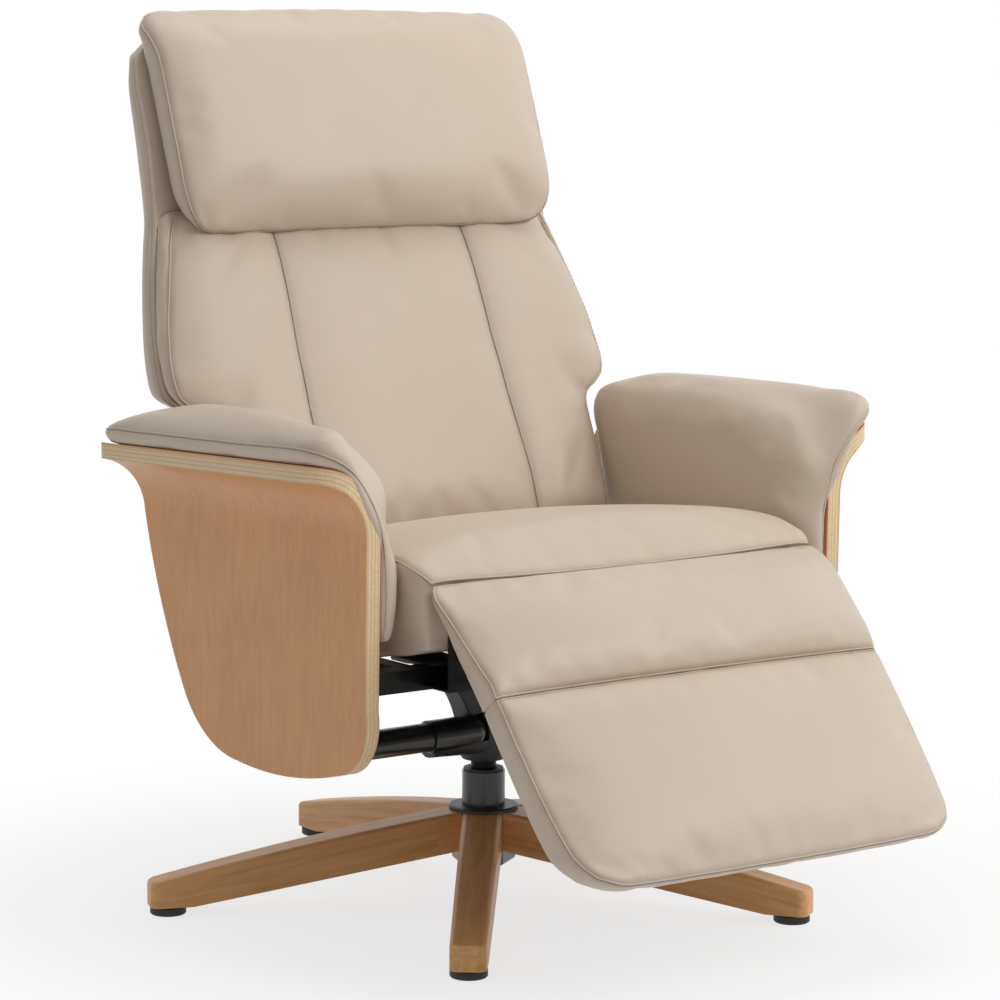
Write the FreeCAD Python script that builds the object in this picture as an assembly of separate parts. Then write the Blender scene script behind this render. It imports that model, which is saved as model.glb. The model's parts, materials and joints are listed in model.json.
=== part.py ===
import FreeCAD, Part
import math
import os

# Swivel recliner: five wooden legs, a turning column, a cast yoke, bent-plywood sides,
# a padded seat, a folding legrest, a reclining back and a tilting headrest.
# Millimetres. +Z is up and the chair faces -Y. Everything is drawn round the swivel axis and
# saved with the origin on the floor under the middle of the chair's length and width.

V = FreeCAD.Vector

# From the swivel axis back to the middle of the chair's length
swivel_set_back = 71.4

# Clearances and small shared sizes
run_gap = 0.05
soft_gap = 0.4
overrun = 20.0
plate = 5.0
bolt_radius = 4.0
screw_radius = 2.5
screw_head_radius = 5.0
screw_head_height = 2.6
screw_length = 14.0

# Base
base_radius = 370.0
leg_count = 5
leg_first_angle = 159.4
foot_diameter = 41.0
foot_height = 10.0
foot_stud_radius = 4.0
foot_stud_length = 18.0
foot_bevel = 1.5
leg_width_hub = 46.0
leg_width_tip = 40.0
leg_top_hub = 102.0
leg_bottom_hub = 57.0
leg_depth_tip = 28.0
leg_bow = 4.0
leg_past_foot = 22.0
leg_foot_flat = 26.0
leg_nose_round = 11.0
leg_edge_round = 6.0
leg_bolt_height = 74.0
leg_bolt_length = 44.0
leg_nut_radius = 7.5
leg_nut_height = 5.0
hub_flat = 32.0
hub_bottom = 39.0
hub_round = 4.0
hub_floor = 6.0
hub_bore = 22.0
hub_low_bore = 19.0
hub_low_bore_top = 62.0
flange_radius = 40.0
flange_height = 4.0
flange_round = 1.5
sleeve_radius = 24.8
sleeve_top = 146.0
sleeve_bore = 18.0
sleeve_spigot = 20.0
bush_height = 22.0
bush_lip_radius = 23.0
bush_lip_height = 3.0
low_bush_height = 11.0
washer_height = 2.4
washer_hole = 6.0

# Column and yoke
spindle_radius = 14.7
spindle_grip = 18.0
clip_height = 1.5
clip_reach = 2.3
clip_groove = 1.4
clip_mouth = 9.0
yoke_bottom = 160.0
yoke_skirt = 25.0
yoke_belly = 35.0
yoke_belly_height = 34.0
yoke_height = 60.0
yoke_crown = 22.0
tube_y = -18.0
tube_height = 197.0
tube_radius = 16.5
tube_wall = 2.0
tube_inner_end = 24.0
tube_straight = 195.0
tube_bend_radius = 70.0
tube_rise_angle = 38.0
collar_radius = 19.0
collar_outer_end = 92.0
collar_round = 12.0
saddle_radius = 24.0
saddle_tip_radius = 20.0
saddle_drop = 5.0
saddle_back = 6.0
saddle_reach = 88.0
arm_foot_reach = 118.0
arm_foot_length = 38.0
arm_foot_height = 12.0
arm_width = 36.0
arm_front = -18.0
arm_round = 3.0
spot_radius = 7.0

# Seat frame
rail_bottom = 296.0
rail_height = 24.0
rail_depth = 24.0
rail_wall = 2.0
front_rail_front = -212.0
rear_rail_front = 34.0
mid_rail_front = -20.0
side_rail_rear = 130.0
mid_rail_depth = 40.0
side_rail_outer = 256.0
side_rail_width = 20.0
webbing_height = 2.4
webbing_width = 50.0
webbing_count = 5
webbing_pitch = 98.0

# Side panels
panel_inner = 310.0
panel_thickness = 18.0
panel_front = -242.0
panel_rear = 216.0
panel_bottom = 191.0
panel_bend_height = 452.0
panel_bend_radius = 60.0
panel_bend_angle = 80.0
panel_lip = 10.0
panel_slope = 0.035
panel_corner_round = 45.0
panel_rear_round = 24.0
# Share of the depth from the front edge to the rear edge, share of the height from the
# bottom edge to the start of the bend. The outline runs down the front, along and up the rear.
panel_edge_shares = {
    "front_top": (0.0, 1.40),
    "front_low": (0.012, 0.36),
    "front_turn": (0.036, 0.165),
    "front_foot": (0.115, 0.075),
    "bottom_mid": (0.34, 0.005),
    "rear_foot": (0.56, 0.01),
    "rear_turn": (0.70, 0.085),
    "rear_low": (0.79, 0.235),
    "rear_mid": (0.90, 0.61),
    "rear_high": (0.975, 1.0),
    "rear_top": (1.0, 1.40),
}

# Arm pads. Heights are taken at the panel's rear edge; the pad rises with the panel.
arm_inner = 274.5
arm_overhang = 5.6
arm_crest_x = 304.0
arm_crest_height = 574.0
arm_seam_height = 550.0
arm_shoulder_height = 530.0
arm_pad_bottom = 334.0
arm_pad_front = -246.0
arm_pad_rear = 205.0
arm_front_round = 40.0
arm_inner_round = 30.0
arm_foot_round = 14.0
arm_fall_start = 43.0
arm_inner_rear = 113.0
arm_inner_rear_lean = 9.4
arm_tail_inner = 318.0
arm_swell = 2.5
arm_band_lean = 5.0

# Seat cushion
seat_half_width = 266.0
seat_bottom = rail_bottom + rail_height + webbing_height + soft_gap
seat_seam_height = 438.0
seat_crown = 16.0
seat_front = -256.4
seat_rear = 70.0
seat_side_bulge = 4.0
seat_front_drop = 18.0
seat_rear_drop = 8.0

# Legrest. Its top edge is hinged at the seat's front edge, and its lower half folds back about
# the middle seam. Lengths run down the back face from the hinge at the seat.
legrest_pivot_y = -264.0
legrest_pivot_z = 411.0
upper_angle = 54.0
lower_angle = 51.5
legrest_half_width = 262.0
upper_length = 145.0
lower_length = 226.0
upper_start = 6.5
pad_edge = 36.0
pad_crown = 22.0
pad_end_round = 48.0
pad_side_bulge = 3.0
seam_gap = 0.8
board_thickness = 9.0
board_inset = 18.0
hinge_radius = 4.5
hinge_pin_radius = 2.5
hinge_half = 236.0
hinge_leaf = 2.2
hinge_leaf_length = 34.0
fold_radius = 4.0
fold_pin_radius = 2.0
fold_behind = 4.3
apron_bottom = 300.0
# Knuckles from one end to the other: f is the half that stays, m the half that moves
hinge_knuckles = "fmfmfmfmf"
# Along the upper pad: share of its length, of the edge height and of the crown
upper_pad_shares = [
    (0.0, 0.20, 0.15),
    (0.10, 0.34, 0.70),
    (0.28, 0.54, 1.15),
    (0.55, 0.80, 0.95),
    (0.88, 0.96, 0.80),
    (1.0, 0.96, 0.40),
]
lower_board_share = 0.70
lower_curl_share = 0.72
lower_curl_radius = 70.0
lower_curl_angle = 53.0
# Along the lower pad: share of its length, of the corner cut, of the edge height and of the
# crown, then the lean of the section.
lower_pad_shares = [
    (0.0, 0.0, 0.96, 0.40, 0.05),
    (0.06, 0.0, 1.0, 0.80, 0.04),
    (0.30, 0.0, 1.0, 1.05, 0.02),
    (0.56, 0.0, 1.04, 1.0, 0.10),
    (0.72, 0.0, 1.07, 0.95, 0.26),
    (0.81, 0.06, 1.15, 0.80, 0.33),
    (0.864, 0.24, 1.26, 0.55, 0.36),
    (0.903, 0.58, 1.40, 0.30, 0.34),
    (0.921, 0.95, 1.51, 0.08, 0.34),
]

# Backrest
back_pivot_y = 104.0
back_pivot_z = 398.0
back_tube_radius = 11.0
back_tube_wall = 2.0
back_tube_half = 250.0
back_plug_length = 20.0
back_bracket_front = 76.0
back_bracket_rear = 128.0
back_bracket_thickness = 5.0
back_bolt_head = 7.0
back_spacer_gap = 0.3
upright_radius = 9.0
upright_wall = 1.8
upright_x = 188.0
upright_bend = 120.0
upright_knee_y = 226.0
upright_knee_z = 570.0
upright_top_y = 275.0
upright_top_z = 757.0
lever_drop = 120.0
lever_back = 8.0
lever_width = 18.0
lever_thickness = 5.0
lever_space = 9.6
back_foot_y = 101.0
back_bottom = 412.0
back_height = 582.0
back_run = 253.0
back_half_width = 304.0
shell_wall = 13.0
shell_crown_share = 0.17
shell_corner_share = 0.55
cushion_band = 21.0
cushion_crown = 18.0
cushion_side_bulge = 3.0
cushion_panel_bulge = 7.0
groove_x = 135.0
groove_depth = 8.0
strap_height = 34.0
strap_thickness = 2.0
strap_count = 4
# At each height: share of the back's height, share of its half width, then shares of its run
# for the shell's front edge and rear face.
shell_shares = [
    (0.0, 0.783, 0.0, 0.281),
    (0.048, 0.842, 0.071, 0.383),
    (0.151, 0.868, 0.217, 0.518),
    (0.254, 0.878, 0.344, 0.621),
    (0.292, 1.0, 0.391, 0.652),
    (0.392, 1.0, 0.478, 0.711),
    (0.495, 0.974, 0.553, 0.747),
    (0.572, 0.941, 0.601, 0.794),
    (0.629, 0.914, 0.632, 0.838),
    (0.753, 0.888, 0.704, 0.945),
    (0.890, 0.862, 0.798, 0.992),
    (0.962, 0.836, 0.862, 1.0),
    (1.0, 0.783, 0.909, 0.984),
]
# For the lowest heights of that list: the cushion's share of the half width, of its band and
# of its crown.
cushion_shares = [
    (0.822, 0.43, 0.67),
    (0.855, 0.71, 0.89),
    (0.865, 0.86, 1.0),
    (0.872, 1.0, 0.83),
    (0.997, 1.0, 0.89),
    (0.997, 1.0, 0.61),
    (0.970, 1.0, 0.33),
    (0.934, 0.72, 0.06),
    (0.862, 0.20, 0.02),
]

# Headrest
pillow_foot_y = 236.5
pillow_foot_z = 758.0
pillow_lean = 20.2
pillow_length = 278.0
pillow_half_width = 262.0
pillow_corner = 46.0
pillow_band = 29.0
pillow_crown = 27.0
pillow_side_bulge = 3.0
pillow_board = 8.0
pillow_board_inset = 34.0
headrest_pivot_y = 257.0
headrest_pivot_z = 792.0
headrest_pin_radius = 3.5
headrest_eye_radius = 6.5
headrest_eye_x = 120.0
headrest_eye_width = 24.0
headrest_plate_length = 84.0
headrest_plate_thickness = 3.5
headrest_ear_thickness = 4.0
# Along the pillow: share of its length, of its corner cut, of its band and of its crown
pillow_shares = [
    (0.0, 1.0, 0.45, 0.12),
    (0.045, 0.42, 0.80, 0.55),
    (0.16, 0.05, 1.0, 0.93),
    (0.5, 0.0, 1.0, 1.0),
    (0.84, 0.05, 1.0, 0.90),
    (0.955, 0.42, 0.80, 0.52),
    (1.0, 1.0, 0.45, 0.12),
]

# Gas spring under the seat, between the front rail and the back's lever
spring_front_y = -150.0
spring_front_z = 270.0
spring_eye_radius = 10.0
spring_eye_width = 8.0
cylinder_radius = 11.0
cylinder_wall = 2.0
cylinder_length = 148.0
cylinder_cap = 12.0
rod_radius = 4.5
rod_inside = 58.0
piston_height = 8.0
rod_slot = 14.0
slot_gap = 0.6


def edge(a, b):
    return Part.LineSegment(V(*a), V(*b)).toShape()


def bow(a, through, b):
    return Part.Arc(V(*a), V(*through), V(*b)).toShape()


def polygon(points):
    return Part.makePolygon([V(*p) for p in points] + [V(*points[0])])


def prism(points, travel):
    return Part.Face(polygon(points)).extrude(V(*travel))


def block(x0, x1, y0, y1, z0, z1):
    return Part.makeBox(x1 - x0, y1 - y0, z1 - z0, V(x0, y0, z0))


def rod(start, end, radius):
    start, end = V(*start), V(*end)
    return Part.makeCylinder(radius, (end - start).Length, start, end - start)


def ring(start, end, outer, inner):
    return rod(start, end, outer).cut(rod(start, end, inner))


def turned(profile):
    """Revolve an (r, z) outline about the swivel axis."""
    face = Part.Face(polygon([(r, 0, z) for r, z in profile]))
    return face.revolve(V(0, 0, 0), V(0, 0, 1), 360)


def mirrored(shape):
    return shape.mirror(V(0, 0, 0), V(1, 0, 0))


def both_sides(shape):
    return [shape, mirrored(shape)]


def turned_about(shape, angle):
    copy = shape.copy()
    copy.rotate(V(0, 0, 0), V(0, 0, 1), angle)
    return copy


def tilted(shape, y, z, angle):
    """Turn a shape about the X line through (y, z); a positive angle lifts its -Y side."""
    copy = shape.copy()
    copy.rotate(V(0, y, z), V(1, 0, 0), -angle)
    return copy


def loft(wires, ruled=False):
    return Part.makeLoft(wires, True, ruled)


def save(name, *shapes):
    solids = [solid for shape in shapes for solid in shape.Solids]
    for solid in solids:
        if not solid.isValid():
            print("not valid:", name)
        if solid.Volume < 0:
            solid.reverse()
    shape = solids[0] if len(solids) == 1 else Part.makeCompound(solids)
    shape.translate(V(0, swivel_set_back, 0))
    shape.exportStep("parts/" + name + ".step")


# Base

def leg():
    """One leg, pointing along +X: a bowed side outline cut to a taper in plan."""
    tip = base_radius + leg_past_foot
    flat = base_radius - leg_foot_flat
    top_tip = foot_height + leg_depth_tip
    middle = (hub_flat + tip) / 2
    top_middle = (leg_top_hub + top_tip) / 2 + leg_bow
    half = leg_width_hub / 2
    outline = Part.Wire([
        edge((hub_flat, -half, leg_bottom_hub), (flat, -half, foot_height)),
        edge((flat, -half, foot_height), (tip, -half, foot_height)),
        edge((tip, -half, foot_height), (tip, -half, top_tip)),
        bow((tip, -half, top_tip), (middle, -half, top_middle), (hub_flat, -half, leg_top_hub)),
        edge((hub_flat, -half, leg_top_hub), (hub_flat, -half, leg_bottom_hub)),
    ])
    side = Part.Face(outline).extrude(V(0, leg_width_hub, 0))
    tip_half = leg_width_tip / 2
    plan = prism([(hub_flat, -half, 0), (tip, -tip_half, 0), (tip, tip_half, 0), (hub_flat, half, 0)],
                 (0, 0, leg_top_hub + overrun))
    body = side.common(plan)
    nose = [e for e in body.Edges
            if min(v.X for v in e.Vertexes) > tip - leg_edge_round and e.BoundBox.ZLength > leg_edge_round]
    body = body.makeFillet(leg_nose_round, nose)
    top = max((f for f in body.Faces if f.BoundBox.XLength > base_radius / 2),
              key=lambda f: f.CenterOfMass.z)
    crest = [e for e in top.Edges if e.BoundBox.XMax > hub_flat + leg_edge_round]
    body = body.makeFillet(leg_edge_round, crest)
    bolt = rod((hub_flat - overrun, 0, leg_bolt_height),
               (hub_flat + leg_bolt_length + run_gap, 0, leg_bolt_height), bolt_radius + run_gap)
    stud = rod((base_radius, 0, 0), (base_radius, 0, foot_height + foot_stud_length + run_gap),
               foot_stud_radius + run_gap)
    return body.cut(bolt).cut(stud)


def foot_glide():
    r = foot_diameter / 2
    body = turned([
        (0, 0), (r - foot_bevel, 0), (r, foot_bevel), (r, foot_height - foot_bevel),
        (r - foot_bevel, foot_height), (foot_stud_radius, foot_height),
        (foot_stud_radius, foot_height + foot_stud_length), (0, foot_height + foot_stud_length)])
    body.translate(V(base_radius, 0, 0))
    return body


def leg_bolt():
    inner = math.sqrt(hub_bore ** 2 - leg_nut_radius ** 2) - leg_nut_height - run_gap
    nut = prism([(inner, leg_nut_radius * math.cos(math.radians(60 * k)),
                  leg_bolt_height + leg_nut_radius * math.sin(math.radians(60 * k))) for k in range(6)],
                (leg_nut_height, 0, 0))
    shank = rod((inner, 0, leg_bolt_height), (hub_flat + leg_bolt_length, 0, leg_bolt_height), bolt_radius)
    return nut.fuse(shank)


def around_base(shape):
    return [turned_about(shape, leg_first_angle + k * 360 / leg_count) for k in range(leg_count)]


def hub():
    """Five-sided core: each leg's end stands against one flat."""
    corner = hub_flat / math.cos(math.pi / leg_count)
    angles = [math.radians(leg_first_angle) + (2 * k + 1) * math.pi / leg_count for k in range(leg_count)]
    core = prism([(corner * math.cos(a), corner * math.sin(a), hub_bottom) for a in angles],
                 (0, 0, leg_top_hub - hub_bottom))
    soft = [e for e in core.Edges
            if e.BoundBox.ZLength > hub_round or e.BoundBox.ZMax < hub_bottom + hub_round]
    core = core.makeFillet(hub_round, soft)
    floor = hub_bottom + hub_floor
    core = core.cut(rod((0, 0, floor), (0, 0, leg_top_hub + overrun), hub_low_bore))
    core = core.cut(rod((0, 0, hub_low_bore_top), (0, 0, leg_top_hub + overrun), hub_bore))
    core = core.cut(rod((0, 0, 0), (0, 0, leg_top_hub), washer_hole))
    hole = rod((0, 0, leg_bolt_height), (hub_flat + overrun, 0, leg_bolt_height), bolt_radius + run_gap)
    for one in around_base(hole):
        core = core.cut(one)
    return core


def column():
    """Flange, sleeve, bushes and thrust washer, all turned about the swivel axis."""
    flange_top = leg_top_hub + flange_height
    spigot = hub_bore - run_gap
    floor = hub_bottom + hub_floor
    bush = spindle_radius + run_gap
    flange = turned([(hub_bore, leg_top_hub), (flange_radius, leg_top_hub),
                     (flange_radius, flange_top - flange_round), (flange_radius - flange_round, flange_top),
                     (hub_bore, flange_top)])
    sleeve = turned([(sleeve_bore, flange_top - sleeve_spigot), (spigot, flange_top - sleeve_spigot),
                     (spigot, flange_top), (sleeve_radius, flange_top), (sleeve_radius, sleeve_top),
                     (sleeve_bore, sleeve_top)])
    upper = turned([(bush, sleeve_top - bush_height), (sleeve_bore - run_gap, sleeve_top - bush_height),
                    (sleeve_bore - run_gap, sleeve_top), (bush_lip_radius, sleeve_top),
                    (bush_lip_radius, sleeve_top + bush_lip_height), (bush, sleeve_top + bush_lip_height)])
    low_top = hub_low_bore_top
    lower = ring((0, 0, low_top - low_bush_height), (0, 0, low_top), hub_low_bore - run_gap, bush)
    washer = ring((0, 0, floor), (0, 0, floor + washer_height), hub_low_bore - run_gap, washer_hole)
    save("hub_flange", flange)
    save("column_sleeve", sleeve)
    save("column_bushes", upper, lower)
    save("thrust_washer", washer)


def base():
    for index, one in enumerate(around_base(leg())):
        save("leg_" + str(index + 1), one)
    save("foot_glides", *around_base(foot_glide()))
    save("leg_bolts", *around_base(leg_bolt()))
    save("hub_core", hub())
    column()


# Column that turns, and the yoke

def spindle():
    bottom = hub_bottom + hub_floor + washer_height + run_gap
    low_bush = hub_low_bore_top - low_bush_height
    clip_top = low_bush - run_gap * 4
    groove = spindle_radius - clip_groove
    shaft = rod((0, 0, bottom), (0, 0, yoke_bottom + spindle_grip), spindle_radius)
    cut = ring((0, 0, clip_top - clip_height - run_gap), (0, 0, clip_top + run_gap),
               spindle_radius + overrun, groove)
    clip = ring((0, 0, clip_top - clip_height), (0, 0, clip_top), spindle_radius + clip_reach,
                groove + run_gap)
    mouth = block(0, spindle_radius + overrun, -clip_mouth / 2, clip_mouth / 2, 0, clip_top + overrun)
    save("spindle", shaft.cut(cut))
    save("spindle_clip", clip.cut(mouth))


def yoke_arm():
    """Goose-neck arm: rises from the bowl and levels out into a foot under the middle rail."""
    top = rail_bottom
    foot_in = arm_foot_reach - arm_foot_length
    root_low = yoke_bottom + yoke_belly_height
    root_high = yoke_bottom + yoke_height
    rise = top - arm_foot_height - root_low
    outer_from = (yoke_belly * 0.8, arm_front, root_low)
    outer_to = (arm_foot_reach, arm_front, top - arm_foot_height)
    outer_mid = (outer_from[0] + (outer_to[0] - outer_from[0]) * 0.38, arm_front, root_low + rise * 0.72)
    inner_from = (0, arm_front, root_high)
    inner_to = (foot_in, arm_front, top)
    inner_mid = (inner_to[0] * 0.46, arm_front, root_high + (top - root_high) * 0.72)
    face = Part.Face(Part.Wire([
        edge((0, arm_front, root_low), outer_from),
        bow(outer_from, outer_mid, outer_to),
        edge(outer_to, (arm_foot_reach, arm_front, top)),
        edge((arm_foot_reach, arm_front, top), inner_to),
        bow(inner_to, inner_mid, inner_from),
        edge(inner_from, (0, arm_front, root_low)),
    ]))
    arm = face.extrude(V(0, arm_width, 0))
    rims = [e for e in arm.Edges if e.BoundBox.YLength < arm_round and e.BoundBox.XMax < arm_foot_reach
            and e.BoundBox.XLength > arm_foot_length]
    return arm.makeFillet(arm_round, rims)


def yoke():
    """Bowl on the spindle, a saddle for each cross tube and two arms, in one casting."""
    belly = yoke_bottom + yoke_belly_height
    top = yoke_bottom + yoke_height
    bowl_face = Part.Face(Part.Wire([
        edge((0, 0, yoke_bottom), (yoke_skirt, 0, yoke_bottom)),
        bow((yoke_skirt, 0, yoke_bottom), (yoke_belly * 0.9, 0, yoke_bottom + yoke_belly_height * 0.4),
            (yoke_belly, 0, belly)),
        bow((yoke_belly, 0, belly), (yoke_belly * 0.87, 0, (belly + top * 2) / 3), (yoke_crown, 0, top)),
        edge((yoke_crown, 0, top), (0, 0, top)),
        edge((0, 0, top), (0, 0, yoke_bottom)),
    ]))
    body = bowl_face.revolve(V(0, 0, 0), V(0, 0, 1), 360)
    axis_y = tube_y + saddle_back
    axis_z = tube_height - saddle_drop
    saddle = Part.makeCone(saddle_radius, saddle_tip_radius, saddle_reach, V(0, axis_y, axis_z), V(1, 0, 0))
    for one in both_sides(saddle) + both_sides(yoke_arm()):
        body = body.fuse(one)
    collar_end = tube_inner_end - collar_round / 2
    pocket = rod((collar_end - soft_gap, tube_y, tube_height),
                 (saddle_reach + overrun, tube_y, tube_height), collar_radius + run_gap)
    for one in both_sides(pocket):
        body = body.cut(one)
    socket = rod((0, 0, yoke_bottom - overrun), (0, 0, yoke_bottom + spindle_grip + run_gap),
                 spindle_radius + run_gap)
    body = body.cut(socket)
    seat = rail_bottom - arm_foot_height
    for x, y in yoke_bolt_places():
        hole = rod((x, y, rail_bottom - rail_height), (x, y, rail_bottom + overrun), bolt_radius + run_gap)
        body = body.cut(hole).cut(rod((x, y, seat - overrun), (x, y, seat), spot_radius))
    return body.removeSplitter()


def yoke_bolt_places():
    x = arm_foot_reach - arm_foot_length / 2
    middle = arm_front + arm_width / 2
    reach = arm_width / 4
    return [(side * x, middle + along * reach) for side in (-1, 1) for along in (-1, 1)]


def yoke_bolts():
    bolts = []
    for x, y in yoke_bolt_places():
        seat = rail_bottom - arm_foot_height
        head = rod((x, y, seat - bolt_radius), (x, y, seat), bolt_radius * 1.6)
        shank = rod((x, y, seat), (x, y, rail_bottom + rail_wall), bolt_radius)
        bolts.append(head.fuse(shank))
    return bolts


def tube_path():
    """Along the cross tube's centre line: straight out, a bend, then up to the side panel."""
    angle = math.radians(tube_rise_angle)
    r = tube_bend_radius
    start = (tube_inner_end, tube_y, tube_height)
    bend = (tube_straight, tube_y, tube_height)
    half = (tube_straight + r * math.sin(angle / 2), tube_y, tube_height + r * (1 - math.cos(angle / 2)))
    leave = (tube_straight + r * math.sin(angle), tube_y, tube_height + r * (1 - math.cos(angle)))
    far = panel_inner + overrun
    end = (far, tube_y, leave[2] + (far - leave[0]) * math.tan(angle))
    return start, bend, half, leave, end


def cross_tube():
    start, bend, half, leave, end = tube_path()
    path = Part.Wire([edge(start, bend), bow(bend, half, leave), edge(leave, end)])
    solids = []
    for radius in (tube_radius, tube_radius - tube_wall):
        circle = Part.Wire(Part.makeCircle(radius, V(*start), V(1, 0, 0)))
        solids.append(path.makePipeShell([circle], True, False))
    tube = solids[0].cut(solids[1])
    return tube.common(block(0, panel_inner - plate, -base_radius, base_radius, 0, base_radius))


def tube_plate_height():
    leave = tube_path()[3]
    return leave[2] + (panel_inner - plate - leave[0]) * math.tan(math.radians(tube_rise_angle))


def tube_plate():
    """Rounded plate that the tube's end is welded to; it lies flat on the side panel."""
    z = tube_plate_height()
    reach = tube_radius * 1.5
    height = tube_radius * 2
    body = block(panel_inner - plate, panel_inner, tube_y - reach, tube_y + reach, z - height, z + height)
    body = body.makeFillet(plate * 2, [e for e in body.Edges if e.BoundBox.XLength > plate / 2])
    for y, dz in plate_screw_places():
        body = body.cut(rod((0, y, z + dz), (panel_inner + overrun, y, z + dz), screw_radius + run_gap))
    return body


def plate_screw_places():
    reach = tube_radius * 1.05
    height = tube_radius * 1.6
    return [(tube_y + a * reach, b * height) for a in (-1, 1) for b in (-1, 1)]


def wood_screw(x, y, z):
    """Pan-head screw driven outwards into the panel; its head bears on the plate at x."""
    head = rod((x - screw_head_height, y, z), (x, y, z), screw_head_radius)
    return head.fuse(rod((x, y, z), (x + screw_length, y, z), screw_radius))


def tube_collar():
    """Rounded sleeve on the tube's inner end, lying in the casting's saddle."""
    inner = tube_inner_end - collar_round / 2
    body = rod((inner, tube_y, tube_height), (collar_outer_end, tube_y, tube_height), collar_radius)
    tip = [e for e in body.Edges if e.BoundBox.XMax < inner + run_gap]
    body = body.makeFillet(collar_round, tip)
    return body.cut(rod((tube_inner_end - run_gap, tube_y, tube_height),
                        (collar_outer_end + overrun, tube_y, tube_height), tube_radius + run_gap))


def column_top():
    spindle()
    save("yoke_casting", yoke())
    save("yoke_bolts", *yoke_bolts())
    save("cross_tubes", *both_sides(cross_tube()))
    save("tube_collars", *both_sides(tube_collar()))


# Seat frame

def hollow_rail(x0, x1, y0, y1, along_x):
    """Rectangular tube with open ends."""
    z0, z1, w = rail_bottom, rail_bottom + rail_height, rail_wall
    body = block(x0, x1, y0, y1, z0, z1)
    if along_x:
        return body.cut(block(x0 - overrun, x1 + overrun, y0 + w, y1 - w, z0 + w, z1 - w))
    return body.cut(block(x0 + w, x1 - w, y0 - overrun, y1 + overrun, z0 + w, z1 - w))


def rail_screw_places():
    z = rail_bottom - rail_height / 4
    return [(front_rail_front + rail_depth * share, z) for share in (0.25, 0.75)]


def seat_frame():
    front_rear = front_rail_front + rail_depth
    rear_rear = rear_rail_front + rail_depth
    inner, reach = side_rail_outer - side_rail_width, panel_inner - plate
    save("front_rail", hollow_rail(-reach, reach, front_rail_front, front_rear, True))
    save("rear_rail", hollow_rail(-inner, inner, rear_rail_front, rear_rear, True))
    middle = hollow_rail(-inner, inner, mid_rail_front, mid_rail_front + mid_rail_depth, True)
    for x, y in yoke_bolt_places():
        hole = rod((x, y, rail_bottom - overrun), (x, y, rail_bottom + rail_wall * 2),
                   bolt_radius + run_gap)
        middle = middle.cut(hole)
    save("middle_rail", middle)
    save("side_rails", *both_sides(hollow_rail(inner, side_rail_outer, front_rear, side_rail_rear, False)))
    rail_plate = block(panel_inner - plate, panel_inner, front_rail_front - plate, front_rear + plate,
                       rail_bottom - rail_height / 2, rail_bottom + rail_height)
    for y, z in rail_screw_places():
        rail_plate = rail_plate.cut(rod((0, y, z), (panel_inner + overrun, y, z), screw_radius + run_gap))
    save("panel_plates", *both_sides(rail_plate), *both_sides(tube_plate()))
    screws = [wood_screw(panel_inner - plate, y, z) for y, z in panel_screw_places()]
    save("panel_screws", *screws, *[mirrored(one) for one in screws])
    top = rail_bottom + rail_height
    straps = []
    for k in range(webbing_count):
        x = (k - (webbing_count - 1) / 2) * webbing_pitch
        straps.append(block(x - webbing_width / 2, x + webbing_width / 2, front_rail_front, rear_rear,
                            top, top + webbing_height))
    save("seat_webbing", *straps)


# Side panels and arm pads

def panel_point(name):
    depth, height = panel_edge_shares[name]
    y = panel_front + depth * (panel_rear - panel_front)
    return (0, y, panel_bottom + height * (panel_bend_height - panel_bottom))


def panel_outline():
    """The panel seen from the side, as a solid that runs through it."""
    at = panel_point
    wire = Part.Wire([
        edge(at("front_top"), at("front_low")),
        bow(at("front_low"), at("front_turn"), at("front_foot")),
        bow(at("front_foot"), at("bottom_mid"), at("rear_foot")),
        bow(at("rear_foot"), at("rear_turn"), at("rear_low")),
        bow(at("rear_low"), at("rear_mid"), at("rear_high")),
        edge(at("rear_high"), at("rear_top")),
        edge(at("rear_top"), at("front_top")),
    ])
    return Part.Face(wire).extrude(V(arm_outer() + overrun, 0, 0))


def panel_plan():
    """The panel seen from above: the flared edge has a round corner at each end."""
    tip = panel_tip()[0]
    r, q = panel_corner_round, panel_rear_round
    c, d = 1 - math.sqrt(0.5), math.sqrt(0.5)
    front, rear = panel_front, panel_rear
    near = panel_inner - overrun
    wire = Part.Wire([
        edge((near, front, 0), (tip - r, front, 0)),
        bow((tip - r, front, 0), (tip - r * c, front + r * c, 0), (tip, front + r, 0)),
        edge((tip, front + r, 0), (tip, rear - q, 0)),
        bow((tip, rear - q, 0), (tip - q * c, rear - q * c, 0), (tip - q, rear, 0)),
        edge((tip - q, rear, 0), (near, rear, 0)),
        edge((near, rear, 0), (near, front, 0)),
    ])
    return Part.Face(wire).extrude(V(0, 0, arm_crest_height + overrun))


def panel_curve(offset, extra=0.0):
    """Corners of one face of the bent sheet at the rear edge: (x, z) of the foot, the start,
    middle and end of the bend, and the lip. The offset is measured from the outer face."""
    centre_x = panel_inner + panel_thickness + panel_bend_radius
    r = panel_bend_radius + offset
    a = math.radians(panel_bend_angle)
    lip = panel_lip + extra
    end = (centre_x - r * math.cos(a), panel_bend_height + r * math.sin(a))
    return [
        (centre_x - r, panel_bottom),
        (centre_x - r, panel_bend_height),
        (centre_x - r * math.cos(a / 2), panel_bend_height + r * math.sin(a / 2)),
        end,
        (end[0] + lip * math.sin(a), end[1] + lip * math.cos(a)),
    ]


def panel_tip():
    return panel_curve(0)[4]


def arm_outer():
    """The pad's outer edge, a little past the panel's lip."""
    return panel_tip()[0] + arm_overhang


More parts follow.
